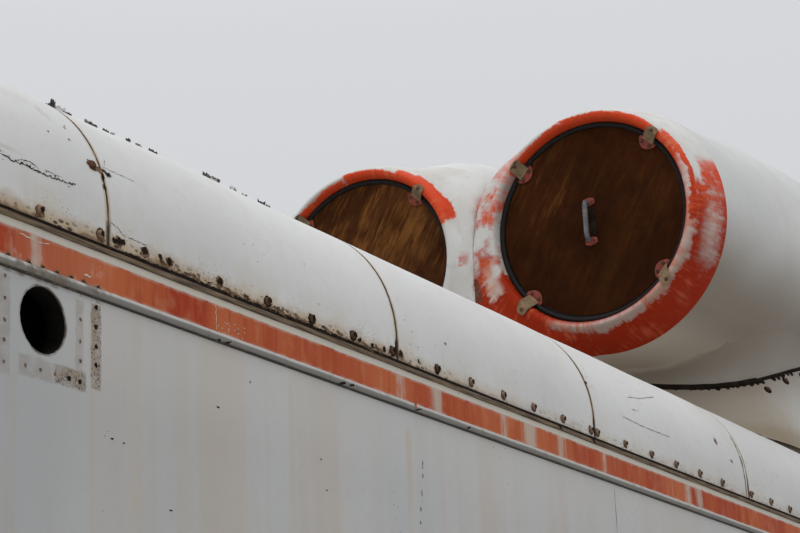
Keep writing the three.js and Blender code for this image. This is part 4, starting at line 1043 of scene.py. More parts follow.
def lobe_ring(row, top_steps=34, side_steps=60, under_steps=16):
    """The outline round all three nacelles at a row's x: over the top from the left, then back underneath."""
    upper, lower = atan2(row[4], MIDWAY), -atan2(row[5], MIDWAY)
    q, left, right = pi / 2, ENGINE_PITCH, -ENGINE_PITCH
    ring = []
    for axis, side, start, stop, steps, shape in (
        (left, 1, -q, q, side_steps, oval), (left, -1, q, upper, top_steps, flared),
        (0, 1, upper, q, top_steps, flared), (0, -1, q, upper, top_steps, flared),
        (right, 1, upper, q, top_steps, flared), (right, -1, q, -q, side_steps, oval),
        (right, 1, -q, lower, under_steps, flared), (0, -1, lower, -q, under_steps, flared),
        (0, 1, -q, lower, under_steps, flared), (left, -1, lower, -q, under_steps, flared),
    ):
        for a in linspace(start, stop, steps, endpoint=False):
            r = shape(row, row[2] if axis else row[3], a)
            ring.append((row[0], axis + side * r * cos(a), ENGINE_Z + r * sin(a)))
    return ring


def cowl_ring(row, axis, neighbours, steps=180):
    ring = []
    for c, s in around(steps):
        up = atan2(s, abs(c))
        high = row[2] if axis else row[3]
        if (1 if c >= 0 else -1) in neighbours:
            r = min(flared(row, high, up), (MIDWAY - 0.0002) / cos(up))
        else:
            r = oval(row, high, up)
        ring.append((row[0], axis + r * c, ENGINE_Z + r * s))
    return ring


def cowl_shape(axis, neighbours):
    rings = [cowl_ring(row, axis, neighbours) for row in reversed(NACELLE) if row[0] >= COWL_END]
    rings += [[(x, axis + r * c, ENGINE_Z + r * s) for c, s in around(180)] for x, r in INNER_LIP]
    rings = np.array(rings)
    along = lengths(rings[:, 0 if -1 in neighbours else 90])
    fine = np.concatenate([linspace(a, b, 5, endpoint=False) for a, b in zip(along, along[1:])] + [[along[-1]]])
    return ring_loft(curve(rings, along, fine), caps=(False, False))


stations = linspace(COWL_END, NACELLE[-1][0], 120)
fairing_shape = ring_loft([lobe_ring(nacelle_row(float(x))) for x in stations])
fairing_tree = tree_of(*fairing_shape)
object_of("fairing_skin", *fairing_shape, NACELLE_PAINT, "body_paint", parts=["engine_fairing"])

DECK_TOP = 4.12
DECK_STEPS = 14
DECK_POINTS = 4 * (DECK_STEPS + 1)


def deck_ring(z):
    """The deck's outline at a height, from its left front corner over the rear to the right front corner."""
    front, half, radius, rear = row_at(DECK, z)
    ring = []
    for quarter, (cx, cy, r) in enumerate((
        (front - radius, half - radius, radius), (rear + 0.3, half - 0.3, 0.3),
        (rear + 0.3, 0.3 - half, 0.3), (front - radius, radius - half, radius),
    )):
        for i in range(DECK_STEPS + 1):
            a = (quarter + i / DECK_STEPS) * pi / 2
            ring.append((cx + r * cos(a), cy + r * sin(a), z))
    return ring


deck_shape = ring_loft([deck_ring(z) for z in linspace(3.3, DECK_TOP, 24)])
object_of("deck_skin", *deck_shape, DECK_PAINT, "body_paint", parts=["engine_deck"])

# The deck's foot flange, which follows the roof's camber and edges.
flange = []
for z, out in ((3.372, 0.055), (3.38, 0.055), (3.384, 0.012), (3.41, 0.002)):
    ring = np.array(deck_ring(z))
    away = ring[:, :2] - (-3.2, 0)
    y = np.abs(ring[:, 1])
    fall = np.sqrt(np.maximum(EDGE_R**2 - np.maximum(y - FLAT_Y, 0) ** 2, 0)) - EDGE_R
    ring[:, 2] += np.where(y < FLAT_Y, CAMBER * (1 - (y / FLAT_Y) ** 2), fall)
    ring[:, :2] += away / np.linalg.norm(away, axis=1)[:, None] * out
    flange.append(ring)
object_of("deck_foot", *ring_loft(flange, caps=(False, False)), DECK_PAINT, "body_paint")


# The deck's joint with the nacelles, a black tube for its dark seam and painted shadow of its gap, and the skirt that
# sweeps down to it at the front corners.
def on_ring(z, s):
    """The place at index s, which may lie between two points, along the deck's outline at a height."""
    ring = deck_ring(z)
    return Vector(ring[int(s)]).lerp(Vector(ring[(int(s) + 1) % DECK_POINTS]), s % 1)


def skirt_drop(x):
    """How far the skirt hangs below the joint."""
    return 0.096 * max(1 - ((x + 1.15) / 0.62) ** 2, 0) ** 2


def under_fairing(place):
    """The place on the nacelles' underside straight above another, or None."""
    return fairing_tree.ray_cast(Vector((place.x, place.y, 3.45)), Vector((0, 0, 1)))[0]


# From the middle of the deck's front, round a front corner and along the side to the rear corner.
JOINT_END = -5.2
runs, joint, skirts = [], Pile(), Pile()
for turn, first in ((1, 0), (-1, DECK_POINTS - 1)):
    front = [DECK_POINTS - 0.5 + turn * k / 10 for k in range(5)]
    corner = [first + turn * k for k in range(DECK_STEPS + 1)]
    flank = [corner[-1] + turn * k / 40 for k in range(1, 41)]
    run, rows = [], []
    for s in front + corner + flank:
        z = 3.8
        for _ in range(4):
            p = on_ring(z, s)
            hit = under_fairing(p)
            z = min(hit.z, DECK_TOP - 0.01) if hit else z
        if not hit or p.x < JOINT_END:
            continue
        fall = skirt_drop(p.x)
        run.append(tuple(on_ring(z - fall, s)))
        along = on_ring(z, s + 0.01) - on_ring(z, max(s - 0.01, 0))
        out = Vector((along.y, -along.x, 0)).normalized()
        bend, top = [under_fairing(p + out * k * (0.008 + 2.2 * fall)) for k in (0.55, 1.0)]
        if fall > 0.001 and top and bend:
            low, top = Vector(run[-1]) + out * 0.001, top + Vector((0, 0, 0.0015))
            rows.append([(1 - t) ** 2 * low + 2 * t * (1 - t) * bend + t * t * top for t in linspace(0, 1, 9)])
    runs.append(run)
    # Black tube along the joint: its dark seam, with painted shadow of the gap.
    joint.add(*tube(run, 0.01))
    skirts.add_strip(rows)
joint.make("deck_joint", DARK_DIRT_AND_SHADE, "seal_rubber")
skirts.make("nacelle_skirt", NACELLE_PAINT, "body_paint")

# Bolts under the joint and along the deck's foot, each with its stain, and at the joint's front corner a thicker dark
# band with ragged blobs, rust and painted shadow.
deck_tree = tree_of(*deck_shape)


def on_deck(x, z, sign, radius, height, pile):
    hit, normal, *_ = deck_tree.ray_cast(Vector((x, sign * 2.5, z)), Vector((0, -sign, 0)))
    if hit is not None:
        pile.add(*dome(radius, height, 10), seated(hit, normal))


bolts, grime = Pile(), Pile()
for run in runs:
    sign = 1 if run[-1][1] > 0 else -1
    along = sorted(run, key=lambda place: -place[0])
    xs, zs = [place[0] for place in along][::-1], [place[2] for place in along][::-1]
    for x in np.arange(-1.225, JOINT_END + 0.2, -0.15):
        z = float(np.interp(x, xs, zs)) - (0.05 if x > -1.3 else 0.034)
        on_deck(x, z, sign, 0.012, 0.008, bolts)
        on_deck(x + 0.003, z - 0.004, sign, 0.021, 0.0015, grime)
    for x in np.arange(-1.4, -5.3, -0.16):
        on_deck(x, 3.415, sign, 0.013, 0.009, bolts)
        on_deck(x, 3.408, sign, 0.026, 0.0015, grime)
    # The joint's front corner: a thicker dark tube and ragged blobs about it, rust and painted shadow.
    grime.add(*tube([place for place in along if -1.26 < place[0] < -0.8], 0.0155, 8))
    for x in np.arange(-0.82, -1.45, -0.009):
        z = float(np.interp(x, xs, zs))
        x, z = x + RNG.uniform(-0.004, 0.004), z + RNG.uniform(-0.013, 0.007)
        on_deck(x, z, sign, RNG.uniform(0.006, 0.014), 0.003, grime)
bolts.make("deck_bolts", RUST_METAL, "body_paint")
grime.make("deck_stains_and_shade", DARK_DIRT_AND_SHADE, "seal_rubber")

# Intakes: cowl, seal, board with its clamps and handle; and the exhaust nozzles.
FACE_ON = turned_about("Y", 90)
# Angle and slant of each clamp in degrees, and how far out its end lies.
CLAMPS = ((46, -3, 0.488), (137, -1, 0.474), (224, 2, 0.507), (318, -4, 0.509))
# The half outline of a clamp's inner plate: distance across and from the axis; and of the handle's foot: y and z.
PLATE = ((0.038, 0.43), (0.046, 0.424), (0.045, 0.414), (0.032, 0.399), (0.018, 0.388))
FOOT = ((-0.03, -0.013), (-0.01, -0.02), (0.012, -0.018), (0.028, -0.008), (0.026, 0.012), (0.006, 0.018),
        (-0.026, 0.014))
GRIP = ((0.0, 0.083), (0.02, 0.083), (0.032, 0.077), (0.036, 0.06))
NOZZLE = ((-5.5, 0.335), (-5.62, 0.325), (-5.8, 0.296), (-5.96, 0.27), (-5.962, 0.264), (-5.955, 0.258),
          (-5.8, 0.28), (-5.62, 0.3), (-5.621, 0.12))
CONE = ((-5.62, 0.12), (-5.7, 0.105), (-5.8, 0.05), (-5.86, 0.004))


def clamp(turn, slant, end, clips, ends, screws):
    """A strap from the board, over the lip, with a plate at its foot and three screws."""

    def shift(r):
        return radians(slant) * r * min(max((r - 0.415) / (end - 0.415), 0), 1)

    strap = [(-0.3475, 0.42, 0.03), (-0.343, 0.427, 0.031), (-0.322, 0.443, 0.031), (-0.3005, 0.461, 0.03),
             (-0.2975, 0.466, 0.029), (-0.2975, end - 0.012, 0.024), (-0.2975, end - 0.004, 0.019),
             (-0.2975, end, 0.01)]
    corners = ((-1, 0), (-1, 0.004), (1, 0.004), (1, 0))
    clips.add(*ring_loft([[(x + d, k * w - shift(r), r) for k, d in corners] for x, r, w in strap]), turn)
    plate = [(-a, r) for a, r in PLATE] + [(0.0, 0.384)] + list(reversed(PLATE))
    layers = ((-0.3525, 1.0), (-0.3475, 1.0), (-0.3462, 0.93))
    ends.add(*ring_loft([[(x, a * k, 0.41 + (r - 0.41) * k) for a, r in plate] for x, k in layers]), turn)
    for place in ((-0.3465, -0.022, 0.408), (-0.3465, 0.022, 0.408), (-0.2937, -shift(end - 0.02), end - 0.02)):
        screws.add(*dome(0.0095, 0.005, 10), turn @ Matrix.Translation(place) @ FACE_ON)


for side, y in ENGINES.items():
    cowl, beads, cover, pipes = Pile(), Pile(), Pile(), Pile()
    cowl.add(*cowl_shape(y, {"left": (-1,), "center": (-1, 1), "right": (1,)}[side]))
    orange = cowl_paint(side, y, -1 if side == "right" else 1, side != "center")
    cowl.make(f"cowl_skin_{side}", orange, "cowl_paint", parts=[f"intake_cowl_{side}"])
    for x, r, thick, drop in ((COVER_X - 0.002, 0.4405, 0.0115, 0.0), (COVER_X - 0.0165, 0.4215, 0.0095, 0.004)):
        beads.add(*tube([(x, y + r * c, ENGINE_Z - drop + r * s) for c, s in around(96)], thick, 10, closed=True))
    beads.make(f"seal_ring_{side}", RUBBER, "seal_rubber", parts=[f"intake_seal_{side}"])
    bulge = [(COVER_X - 0.006 + 0.004 * (1 - (r / 0.428) ** 2), r) for r in linspace(0.428, 0.0, 24)[:-1]]
    cover.add(*turned(bulge, y, ENGINE_Z + 0.0095, 96, caps=(False, True)))
    wood = BOARD if side == "left" else FAR_BOARD
    cover.make(f"cover_board_{side}", wood, "cover_board", parts=[f"intake_cover_{side}"])
    clips, ends, screws, grip, slot = Pile(), Pile(), Pile(), Pile(), Pile()
    centre = Matrix.Translation((0, y, ENGINE_Z))
    for angle, slant, end in CLAMPS:
        clamp(centre @ turned_about("X", angle - 90), slant, end, clips, ends, screws)
    handle = [(d, -z) for d, z in GRIP] + [(0.036, 0.0)] + list(reversed(GRIP))
    grip.add(*tube([(COVER_X + d, y - 0.012, ENGINE_Z + z) for d, z in handle], 0.0115, 10))
    # A flat black oval on the board behind the grip: the handle's slot, with painted shadow of the grip.
    hollow = [(COVER_X - 0.0045, 0.1), (COVER_X - 0.001, 0.098), (COVER_X - 0.0012, 0.001)]
    squash = Matrix.Translation((0, y + 0.004, ENGINE_Z + 0.008)) @ Matrix.Diagonal((1, 0.17, 0.8, 1))
    slot.add(*turned(hollow, 0, 0, 24, (False, True)), squash)
    slot.make(f"handle_slot_shadow_{side}", DARK_DIRT_AND_SHADE, "seal_rubber")
    for z in (-0.09, 0.09):
        foot = centre @ Matrix.Translation((COVER_X, -0.006, z))
        layers = ((-0.002, 1.0), (0.005, 1.0), (0.007, 0.9))
        ends.add(*ring_loft([[(x, a * k, b * k) for a, b in FOOT] for x, k in layers]), foot)
        for a in (-0.018, 0.016):
            screws.add(*dome(0.0055, 0.004, 8), foot @ Matrix.Translation((0.0065, a, 0)) @ FACE_ON)
    clips.make(f"cover_clips_{side}", CLIP_TAN, "cover_board", smooth=False)
    grip.make(f"cover_handle_{side}", GRIP_GREY, "cover_board")
    red = plain(f"clip_red_{side}", (0.27, 0.048, 0.03), (0.14, 0.035, 0.024), 50)
    ends.make(f"cover_clip_ends_{side}", red, "cover_board")
    screws.make(f"cover_screws_{side}", RUST_METAL, "cover_board")
    pipes.add(*turned(NOZZLE, y, ENGINE_Z, 64))
    pipes.add(*turned(CONE, y, ENGINE_Z, 32, caps=(False, True)))
    pipes.make(f"nozzle_skin_{side}", NOZZLE_STEEL, "nozzle_steel", parts=[f"exhaust_nozzle_{side}"])


# Nose and tail as smooth shells, cut with booleans, and the cab's glass in its rubber.
def body_ring(table, x, inset=0.0):
    half, bottom, top, high, low, camber = row_at(table, x)
    corners = ((1, 1, high, 14), (-1, 1, high, 14), (-1, -1, low, 5), (1, -1, low, 5))
    ring = []
    for quarter, (sy, sz, radius, steps) in enumerate(corners):
        r = max(radius - inset, 0.01)
        edge, flat = (top - inset if sz > 0 else bottom + inset), half - inset - r
        for i in range(steps + 1):
            a = (quarter + i / steps) * pi / 2
            ring.append((x, sy * flat + r * cos(a), edge - sz * r + r * sin(a)))
        if quarter == 0:
            ring += [(x, flat * k, edge + camber * (1 - k * k)) for k in linspace(1, -1, 13)[1:-1]]
    return ring


def body_shape(table, first, last, inset=0.0, count=80):
    return ring_loft([body_ring(table, float(x), inset) for x in linspace(first, last, count)])


def prism(outline, low, high, axis):
    """(verts, faces) of an outline in (x, z), drawn along Y, or in (y, z), drawn along X."""
    place = (lambda a, b, c: (a, c, b)) if axis == "Y" else (lambda a, b, c: (c, a, b))
    return ring_loft([[place(a, b, c) for a, b in outline] for c in (low, high)])


def rounded(outline, radius=0.05, steps=5):
    """An outline with round corners."""
    points, out = [Vector(p) for p in outline], []
    for i, p in enumerate(points):
        a, b = points[i - 1] - p, points[(i + 1) % len(points)] - p
        reach = min(radius, 0.4 * a.length, 0.4 * b.length)
        a, b = p + a.normalized() * reach, p + b.normalized() * reach
        out += [tuple((1 - t) ** 2 * a + 2 * t * (1 - t) * p + t * t * b) for t in linspace(0, 1, steps)]
    return out


def oblong(low, high, radius, steps=5):
    (a, b), (c, d) = low, high
    return rounded([(a, b), (c, b), (c, d), (a, d)], radius, steps)


def grown(outline, by):
    c = np.mean(outline, axis=0)
    return [tuple(c + (np.array(p) - c) * (1 + by / np.linalg.norm(np.array(p) - c))) for p in outline]


def carve(obj, cutters, operation="DIFFERENCE"):
    """Cut obj with closed shapes that don't touch each other."""
    tool = Pile()
    for verts, faces in cutters:
        tool.add(verts, faces)
    other = object_of("cutter", np.concatenate(tool.verts), tool.faces, PAINT, body=None, smooth=False)
    for one in (obj, other):
        shape = bmesh.new()
        shape.from_mesh(one.data)
        bmesh.ops.recalc_face_normals(shape, faces=shape.faces)
        shape.to_mesh(one.data)
        shape.free()
    cut = obj.modifiers.new("cut", "BOOLEAN")
    cut.object, cut.operation, cut.solver, cut.use_self = other, operation, "EXACT", True
    mesh = bpy.data.meshes.new_from_object(obj.evaluated_get(bpy.context.evaluated_depsgraph_get()))
    obj.modifiers.clear()
    obj.data = mesh
    bpy.data.objects.remove(other)


# Openings: the windscreen's outline is in (y, z), the others' in (x, z). A lamp's y, z and radius. The angle in degrees
# from which edges are sharp. Two corners of the boxes that are cut away from below.
WINDSCREEN = [(0.06, 2.44), (1.18, 2.44), (1.29, 2.52), (1.24, 2.96), (1.13, 3.06), (0.06, 3.1)]
SIDE_WINDOW = [(5.33, 2.23), (6.03, 2.21), (5.98, 2.33), (5.64, 2.68), (5.54, 2.74), (5.33, 2.76)]
DOOR = [(4.45, 0.98), (5.2, 0.98), (5.2, 2.68), (5.12, 2.76), (4.53, 2.76), (4.45, 2.68)]
DOOR_WINDOW = [(4.61, 2.12), (5.04, 2.12), (5.08, 2.16), (5.08, 2.56), (5.04, 2.6), (4.61, 2.6), (4.57, 2.56),
               (4.57, 2.16)]
LAMP = (0.76, 1.48, 0.105)
SHARP_FROM = 40
UNDER_NOSE = ((4.2, -1.56, -0.1), (6.36, 1.56, 0.905))
UNDER_TAIL = ((-6.92, -1.56, -0.1), (-6.15, 1.56, 0.905))

nose = object_of("nose_skin", *body_shape(NOSE, 4.3003, 7.75), RIGHT_WALL, parts=["nose_shell"])
carve(nose, [body_shape(NOSE, 4.2, 7.7, 0.05)])
holes, panes, outlines = [], [], {}
for side, sign in SIDES.items():
    screen = rounded(WINDSCREEN if sign > 0 else [(-y, z) for y, z in WINDSCREEN][::-1], 0.06)
    window = rounded(SIDE_WINDOW, 0.05)
    lamp_ring = [(sign * LAMP[0] + LAMP[2] * c, LAMP[1] + LAMP[2] * s) for c, s in around(40)]
    near, far = sorted((sign * 1.0, sign * 2.1))
    holes += [prism(screen, 5.0, 6.9, "X"), prism(window, near, far, "Y"), prism(DOOR, near, far, "Y")]
    holes.append(prism(lamp_ring, 6.0, 7.8, "X"))
    panes += [prism(grown(screen, -0.0015), 5.0, 6.9, "X"), prism(grown(window, -0.0015), near, far, "Y")]
    outlines[f"screen_{side}"], outlines[f"window_{side}"] = ("X", screen, sign), ("Y", window, sign)
    outlines[f"lamp_{side}"] = ("X", lamp_ring, sign)
    outlines[f"door_{side}"] = ("Y", rounded(DOOR_WINDOW, 0.05), sign)
carve(nose, holes)
carve(nose, [box_at(*UNDER_NOSE)])
smooth_by_angle(nose.data, SHARP_FROM)
glass_nodes = [f"{kind}_{side}" for kind in ("windscreen", "side_window") for side in SIDES]
glass_skin = object_of("cab_glass", *body_shape(NOSE, 4.32, 7.738, 0.012), WINDOW, parts=glass_nodes)
carve(glass_skin, [body_shape(NOSE, 4.25, 7.7, 0.02)])
carve(glass_skin, panes, "INTERSECT")
smooth_by_angle(glass_skin.data, SHARP_FROM)

nose_tree = tree_of(*body_shape(NOSE, 4.3, 7.75))


def on_nose(axis, a, b, sign):
    """The place on the nose and its normal, seen along an axis from outside."""
    if axis == "X":
        return nose_tree.ray_cast(Vector((8.5, a, b)), Vector((-1, 0, 0)))[:2]
    return nose_tree.ray_cast(Vector((a, sign * 2.6, b)), Vector((0, -sign, 0)))[:2]


def finer(outline, step=0.03):
    out = []
    for p, q in zip(outline, outline[1:] + outline[:1]):
        n = max(int(math.dist(p, q) / step), 1)
        out += [(p[0] + (q[0] - p[0]) * i / n, p[1] + (q[1] - p[1]) * i / n) for i in range(n)]
    return out


def spaced(outline, step):
    """Evenly spaced places along a closed outline."""
    loop = np.array([*outline, outline[0]], float)
    along = lengths(loop)
    at = linspace(0, along[-1], int(along[-1] / step), endpoint=False)
    return list(zip(np.interp(at, along, loop[:, 0]), np.interp(at, along, loop[:, 1])))


for name, (axis, outline, sign) in outlines.items():
    loop = [on_nose(axis, a, b, sign) for a, b in finer(outline)]
    points = [hit - normal * 0.003 for hit, normal in loop if hit is not None]
    body = f"crew_door_{name[5:]}" if name.startswith("door") else "root"
    thick, material, slot = (0.012, PAD_METAL, "pad_metal") if "lamp" in name else (0.015, RUBBER, "seal_rubber")
    object_of(f"gasket_{name}", *tube(points, thick, 8, closed=True), material, slot, body)

LEVER = ((4.54, 1.8, 0.004), (4.54, 1.8, 0.028), (4.555, 1.8, 0.034), (4.6, 1.8, 0.034), (4.66, 1.798, 0.032),
         (4.68, 1.797, 0.028))
HINGES_Z = (1.3, 2.35)
for side, sign in SIDES.items():
    bowl, handle, rivets = Pile(), Pile(), Pile()
    y, z, r = sign * LAMP[0], LAMP[1], LAMP[2] - 0.003
    bowl.add(*turned([(7.19, r), (7.12, r), (7.09, 0.085), (7.065, 0.05), (7.055, 0.002)], y, z, 40, (False, True)))
    bowl.add(*turned([(7.055, 0.012), (7.085, 0.014), (7.1, 0.01), (7.105, 0.002)], y, z, 16, (False, True)))
    bowl.make(f"lamp_bowl_{side}", REFLECTOR, "pad_metal")

    # A lever handle and its plate on the crew door, and rivets round the doorway.
    def at(x, z, lift):
        return (x, sign * (float(on_nose("Y", x, z, sign)[0].y) * sign + lift), z)

    plate = oblong((4.505, 1.7), (4.575, 1.86), 0.02)
    layers = ((0.0005, 0.0), (0.004, 0.0), (0.005, -0.002))
    handle.add(*ring_loft([[at(a, b, lift) for a, b in grown(plate, by)] for lift, by in layers]))
    handle.add(*tube([at(*place) for place in LEVER], 0.009, 10))
    handle.make(f"door_handle_{side}", PAD_METAL, "pad_metal", f"crew_door_{side}")
    for a, b in spaced(grown(rounded(DOOR, 0.06), 0.035), 0.12):
        hit, normal = on_nose("Y", a, b, sign)
        if hit is not None and not any(abs(b - h) < 0.12 and a > 5.15 for h in HINGES_Z):
            rivets.add(*dome(0.007, 0.003, 8), seated(hit, normal))
    rivets.make(f"doorway_rivets_{side}", PAINT, "body_paint")

tail = object_of("tail_skin", *body_shape(TAIL, -6.2003, -7.75, count=44), RIGHT_WALL, parts=["tail_shell"])
carve(tail, [box_at(*UNDER_TAIL)])
smooth_by_angle(tail.data, SHARP_FROM)

# Rivets round the flat tail panel and where the nose and the tail join the body.
tail_tree = tree_of(*body_shape(TAIL, -6.2, -7.75, count=44))
flat = [(y, z) for _, y, z in body_ring(TAIL, -7.749, 0.035)]
rays = [(tail_tree, Vector((-8.5, y, z)), Vector((1, 0, 0))) for y, z in spaced(flat, 0.11)]
for table, tree, x in ((NOSE, nose_tree, 4.335), (TAIL, tail_tree, -6.235)):
    for y, z in spaced([(y, z) for _, y, z in body_ring(table, x)], 0.127):
        if z >= 0.8:
            aim = Vector((0, -y, 2.2 - z)).normalized()
            rays.append((tree, Vector((x, y, z)) - aim * 0.5, aim))
rivets = Pile()
for tree, start, aim in rays:
    hit, normal, *_ = tree.ray_cast(start, aim)
    if hit is not None:
        rivets.add(*dome(0.008, 0.0035, 8), seated(hit, normal))
rivets.make("end_rivets", PAINT, "body_paint")

# Rubber lips round the feet of the levitation pads, and bolts along the pads' outer faces.
lips, bolts = Pile(), Pile()
for node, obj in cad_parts.items():
    if "pad" in node:
        levitation, out = "levitation" in node, 1 if node.endswith("left") else -1
        corners = np.array([obj.matrix_world @ Vector(c) for c in obj.bound_box])
        (x0, y0, z0), (x1, y1, z1) = corners.min(0), corners.max(0)
        if levitation:
            rim = oblong((x0 + 0.018, y0 + 0.018), (x1 - 0.018, y1 - 0.018), 0.03, 4)
            for z, r in ((z0 + 0.022, 0.016), (z0 + 0.05, 0.01)):
                lips.add(*tube([(x, y, z) for x, y in finer(rim, 0.25)], r, 8, closed=True))
        for x in linspace(x0 + 0.11, x1 - 0.11, int((x1 - x0) / 0.22)):
            for z in (z1 - 0.045,) if levitation else (z0 + 0.09, z1 - 0.09):
                place = seated((x, y1 if out > 0 else y0, z), Vector((0, out, 0)))
                bolts.add(*dome(0.013, 0.009, 6), place)
lips.make("pad_lips", RUBBER, "seal_rubber")
bolts.make("pad_bolts", PAD_METAL, "pad_metal", smooth=False)

# Joints of the roof sheets, and faint upright joints in the walls.
lines = Pile()
across = linspace(-FLAT_Y + 0.001, FLAT_Y - 0.001, 27)
for x in SEAMS:
    if not -6.0 < x < -0.4:
        lines.add_strip([
            [(x + d, y, ROOF_Z + CAMBER * (1 - (y / FLAT_Y) ** 2) + 0.0009) for y in across] for d in (-0.002, 0.002)
        ])
for side, sign in SIDES.items():
    for x in (2.5, 1.23, -0.04, -1.31, -2.58, -3.85, -5.12):
        z = 2.4 if side == "left" and x > 2 else 2.765
        while z > 0.75:
            long = RNG.uniform(0.05, 0.5)
            line = [(x, z), (x + RNG.uniform(-0.003, 0.003), max(z - long, 0.72))]
            scratch(lines, wall_point, sign, line, 0.0022, lift=0.0006, step=0.03)
            z -= long + RNG.uniform(0.01, 0.12)
lines.make("sheet_joints", DARK_DIRT_AND_SHADE, "seal_rubber", smooth=False)


# Seats: crowned cushions with piping and sewn channels, on a pedestal.
def cushion(name, size, channels, cuts=22):
    """A crowned cushion about its middle: its sides pull in between the corners, and it is flat below."""
    a, b, c = (v / 2 for v in size)
    shape = bmesh.new()
    bmesh.ops.create_cube(shape, size=2)
    bmesh.ops.subdivide_edges(shape, edges=shape.edges[:], cuts=cuts, use_grid_fill=True)
    for v in shape.verts:
        x, y, z = v.co
        edge = max(abs(x), abs(y))
        round_off = 1 - 0.1 * (abs(x) ** 6) * (abs(y) ** 6)
        pull = 1 - 0.05 * (1 - (y if abs(x) > abs(y) else x) ** 2) * edge**4
        crown = (1 - x**4) * (1 - y**4)
        high = (0.62 + 0.38 * crown) if z > 0 else (0.8 + 0.06 * crown)
        if z > 0:
            seams = linspace(-1, 1, channels + 2)[1:-1]
            high -= 0.1 * sum(math.exp(-(((x - k) / 0.035) ** 2)) for k in seams) * (1 - y**6)
        wide = pull * round_off * (1 + 0.03 * (1 - z * z)) * (1 - 0.05 * z**6)
        v.co = (a * x * wide, b * y * wide, c * z * high)
    mesh = bpy.data.meshes.new(name)
    shape.to_mesh(mesh)
    shape.free()
    mesh.materials.append(SEAT_CLOTH)
    made = linked(name, mesh)
    mesh.polygons.foreach_set("use_smooth", [True] * len(mesh.polygons))
    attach(made, "root")
    return made


def piping(name, size, place):
    """A cord round the upper and the lower edge of a cushion."""
    a, b, c = (v / 2 for v in size)
    loops = Pile()
    for z in (0.5, -0.62):
        cord = []
        for x, y in finer(oblong((-a, -b), (a, b), 0.05, 6), 0.02):
            u, v = x / a, y / b
            pull = 0.985 - 0.05 * (1 - (v if abs(u) > abs(v) else u) ** 2)
            cord.append((x * pull, y * pull, c * z))
        loops.add(*tube(cord, 0.0045, 8, closed=True), place)
    loops.make(name, RUBBER, "seal_rubber")


FOOT_LAYERS = ((0.9556, 1, 1), (0.975, 1, 1), (0.985, 0.7, 0.6), (1.25, 0.6, 0.5), (1.325, 0.95, 1.1),
               (1.338, 0.97, 1.12))
ARM = ((5.5, 1.335), (5.3, 1.325), (5.215, 1.36), (5.145, 1.62), (5.085, 2.0))
for side, sign in SIDES.items():
    y = 0.56 * sign
    flat = Matrix.Translation((5.502, y, 1.405)) @ turned_about("Y", -2)
    upright = Matrix.Translation((5.196, y, 1.785)) @ turned_about("Y", -98.5) @ turned_about("X", 180)
    for name, size, place, channels in (
        ("seat_base", (0.43, 0.5, 0.135), flat, 2),
        ("seat_back", (0.66, 0.48, 0.125), upright, 3),
    ):
        made = cushion(f"{name}_{side}", size, channels)
        made.data.transform(place)
        if name == "seat_base":
            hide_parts(f"seat_{side}")
        piping(f"{name}_piping_{side}", size, place)
    stand = Pile()
    sole = oblong((-0.16, -0.2), (0.16, 0.2), 0.04)
    stand.add(*ring_loft([[(5.4 + px * wide, y + py * long, z) for px, py in sole] for z, wide, long in FOOT_LAYERS]))
    for dy in (-0.15, 0.15):
        stand.add(*tube([(x, y + dy, z) for x, z in ARM], 0.012, 10))
    stand.make(f"seat_stand_{side}", CABIN_GREY, "interior")


# Looks of the CAD nodes that stay: the first text that a node's name holds gives its material and bevel.
LOOKS = (
    ("window", WINDOW, 0), ("windscreen", WINDOW, 0), ("headlamp", LENS, 0), ("pad_", PAD_METAL, 0.008),
    ("underframe", FRAME_GREY, 0.006), ("linear_motor", MOTOR_STEEL, 0.003), ("cab_floor", CABIN_GREY, 0.003),
    ("cab_bulkhead", CABIN_GREY, 0.003), ("console", CABIN_GREY, 0.003), ("seat", SEAT_CLOTH, 0.02),
    ("side_wall_left", LEFT_WALL, 0), ("side_wall_right", RIGHT_WALL, 0), ("nose", RIGHT_WALL, 0),
    ("tail", RIGHT_WALL, 0), ("crew_door", RIGHT_WALL, 0), ("", PAINT, 0),
)
for node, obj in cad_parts.items():
    material, bevel = next(look for part, *look in LOOKS if part in node)
    obj.data.materials.clear()
    obj.data.materials.append(material)
    if bevel:
        edge = obj.modifiers.new("edge", "BEVEL")
        edge.width, edge.segments, edge.harden_normals = bevel, 2, True
        edge.limit_method, edge.angle_limit = "ANGLE", radians(40)

# Floor, lights and camera.
pale = Graph("floor_pale")
tone = pale.mix(pale.step(pale.noise(0.6, 3), 0.3, 0.7), (0.45, 0.45, 0.44), (0.49, 0.49, 0.48))
corners = [(-60, -60, 0), (60, -60, 0), (60, 60, 0), (-60, 60, 0)]
object_of("floor", corners, [(0, 1, 2, 3)], pale.finish(tone, 0.8), body=None, smooth=False)

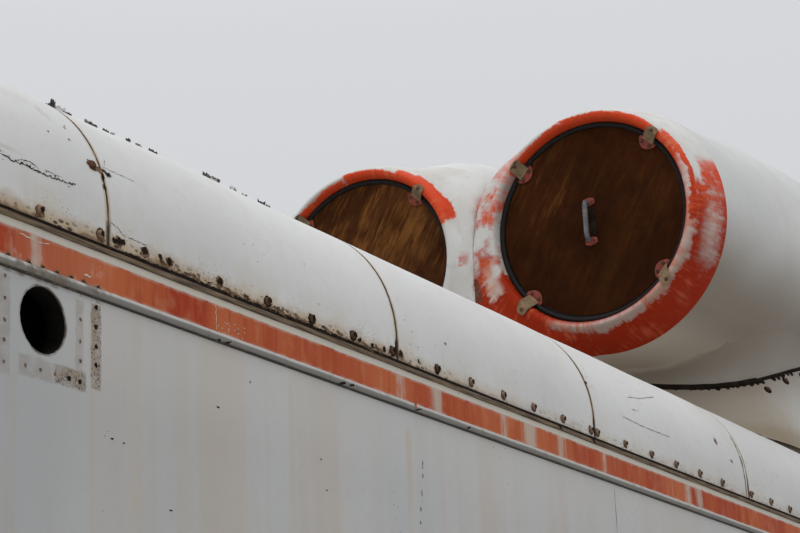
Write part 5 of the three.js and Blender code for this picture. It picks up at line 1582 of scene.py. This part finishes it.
world = bpy.data.worlds.new("studio")
bpy.context.scene.world = world
world.use_nodes = True
tree = world.node_tree
sky = tree.nodes["Background"]
aim = tree.nodes.new("ShaderNodeTexCoord")
height = tree.nodes.new("ShaderNodeSeparateXYZ")
ramp = tree.nodes.new("ShaderNodeValToRGB")
tree.links.new(aim.outputs["Generated"], height.inputs[0])
tree.links.new(height.outputs[2], ramp.inputs[0])
tree.links.new(ramp.outputs[0], sky.inputs["Color"])
sky.inputs["Strength"].default_value = 1.65
stops = ramp.color_ramp.elements
for stop, place, shade in ((stops[0], 0.0, 0.36), (stops.new(0.42), 0.42, 0.43), (stops[-1], 1.0, 1.0)):
    stop.position, stop.color = place, (shade * 0.945, shade * 0.965, shade, 1)


def lamp(name, place, target, size, power, color=(1, 1, 1)):
    data = bpy.data.lights.new(name, "AREA")
    data.shape, data.size, data.size_y = "RECTANGLE", size[0], size[1]
    data.energy, data.color = power, color
    obj = linked(name, data)
    obj.location = place
    obj.rotation_euler = (Vector(target) - Vector(place)).to_track_quat("-Z", "Y").to_euler()


lamp("key", (5, 3, 16), (0, 0.5, 2), (12, 9), 300, (1.0, 0.985, 0.96))
lamp("front", (15, 7, 7), (0, 1, 2.5), (8, 6), 60)

# The camera that was fitted to the photograph: focal length in pixels of an image 800 wide, place and angles.
FOCAL, WIDTH, SENSOR = 2048.5, 800, 36
CAMERA_PLACE = (7.341, 4.696, 1.4)
YAW, PITCH, ROLL = 0.5299, 0.3125, -0.0468
forward = Vector((-cos(YAW) * cos(PITCH), -sin(YAW) * cos(PITCH), sin(PITCH)))
level = Vector((-sin(YAW), cos(YAW), 0))
down = Vector((-cos(YAW) * sin(PITCH), -sin(YAW) * sin(PITCH), -cos(PITCH)))
right = cos(ROLL) * level - sin(ROLL) * down
below = sin(ROLL) * level + cos(ROLL) * down
camera = linked("camera", bpy.data.cameras.new("camera"))
camera.data.lens = FOCAL / WIDTH * SENSOR
camera.data.sensor_width = SENSOR
camera.data.clip_end = 500
turn = Matrix((right, -below, -forward)).transposed().to_4x4()
camera.matrix_world = Matrix.Translation(CAMERA_PLACE) @ turn
bpy.context.scene.camera = camera
bpy.context.scene.view_settings.view_transform = "Standard"
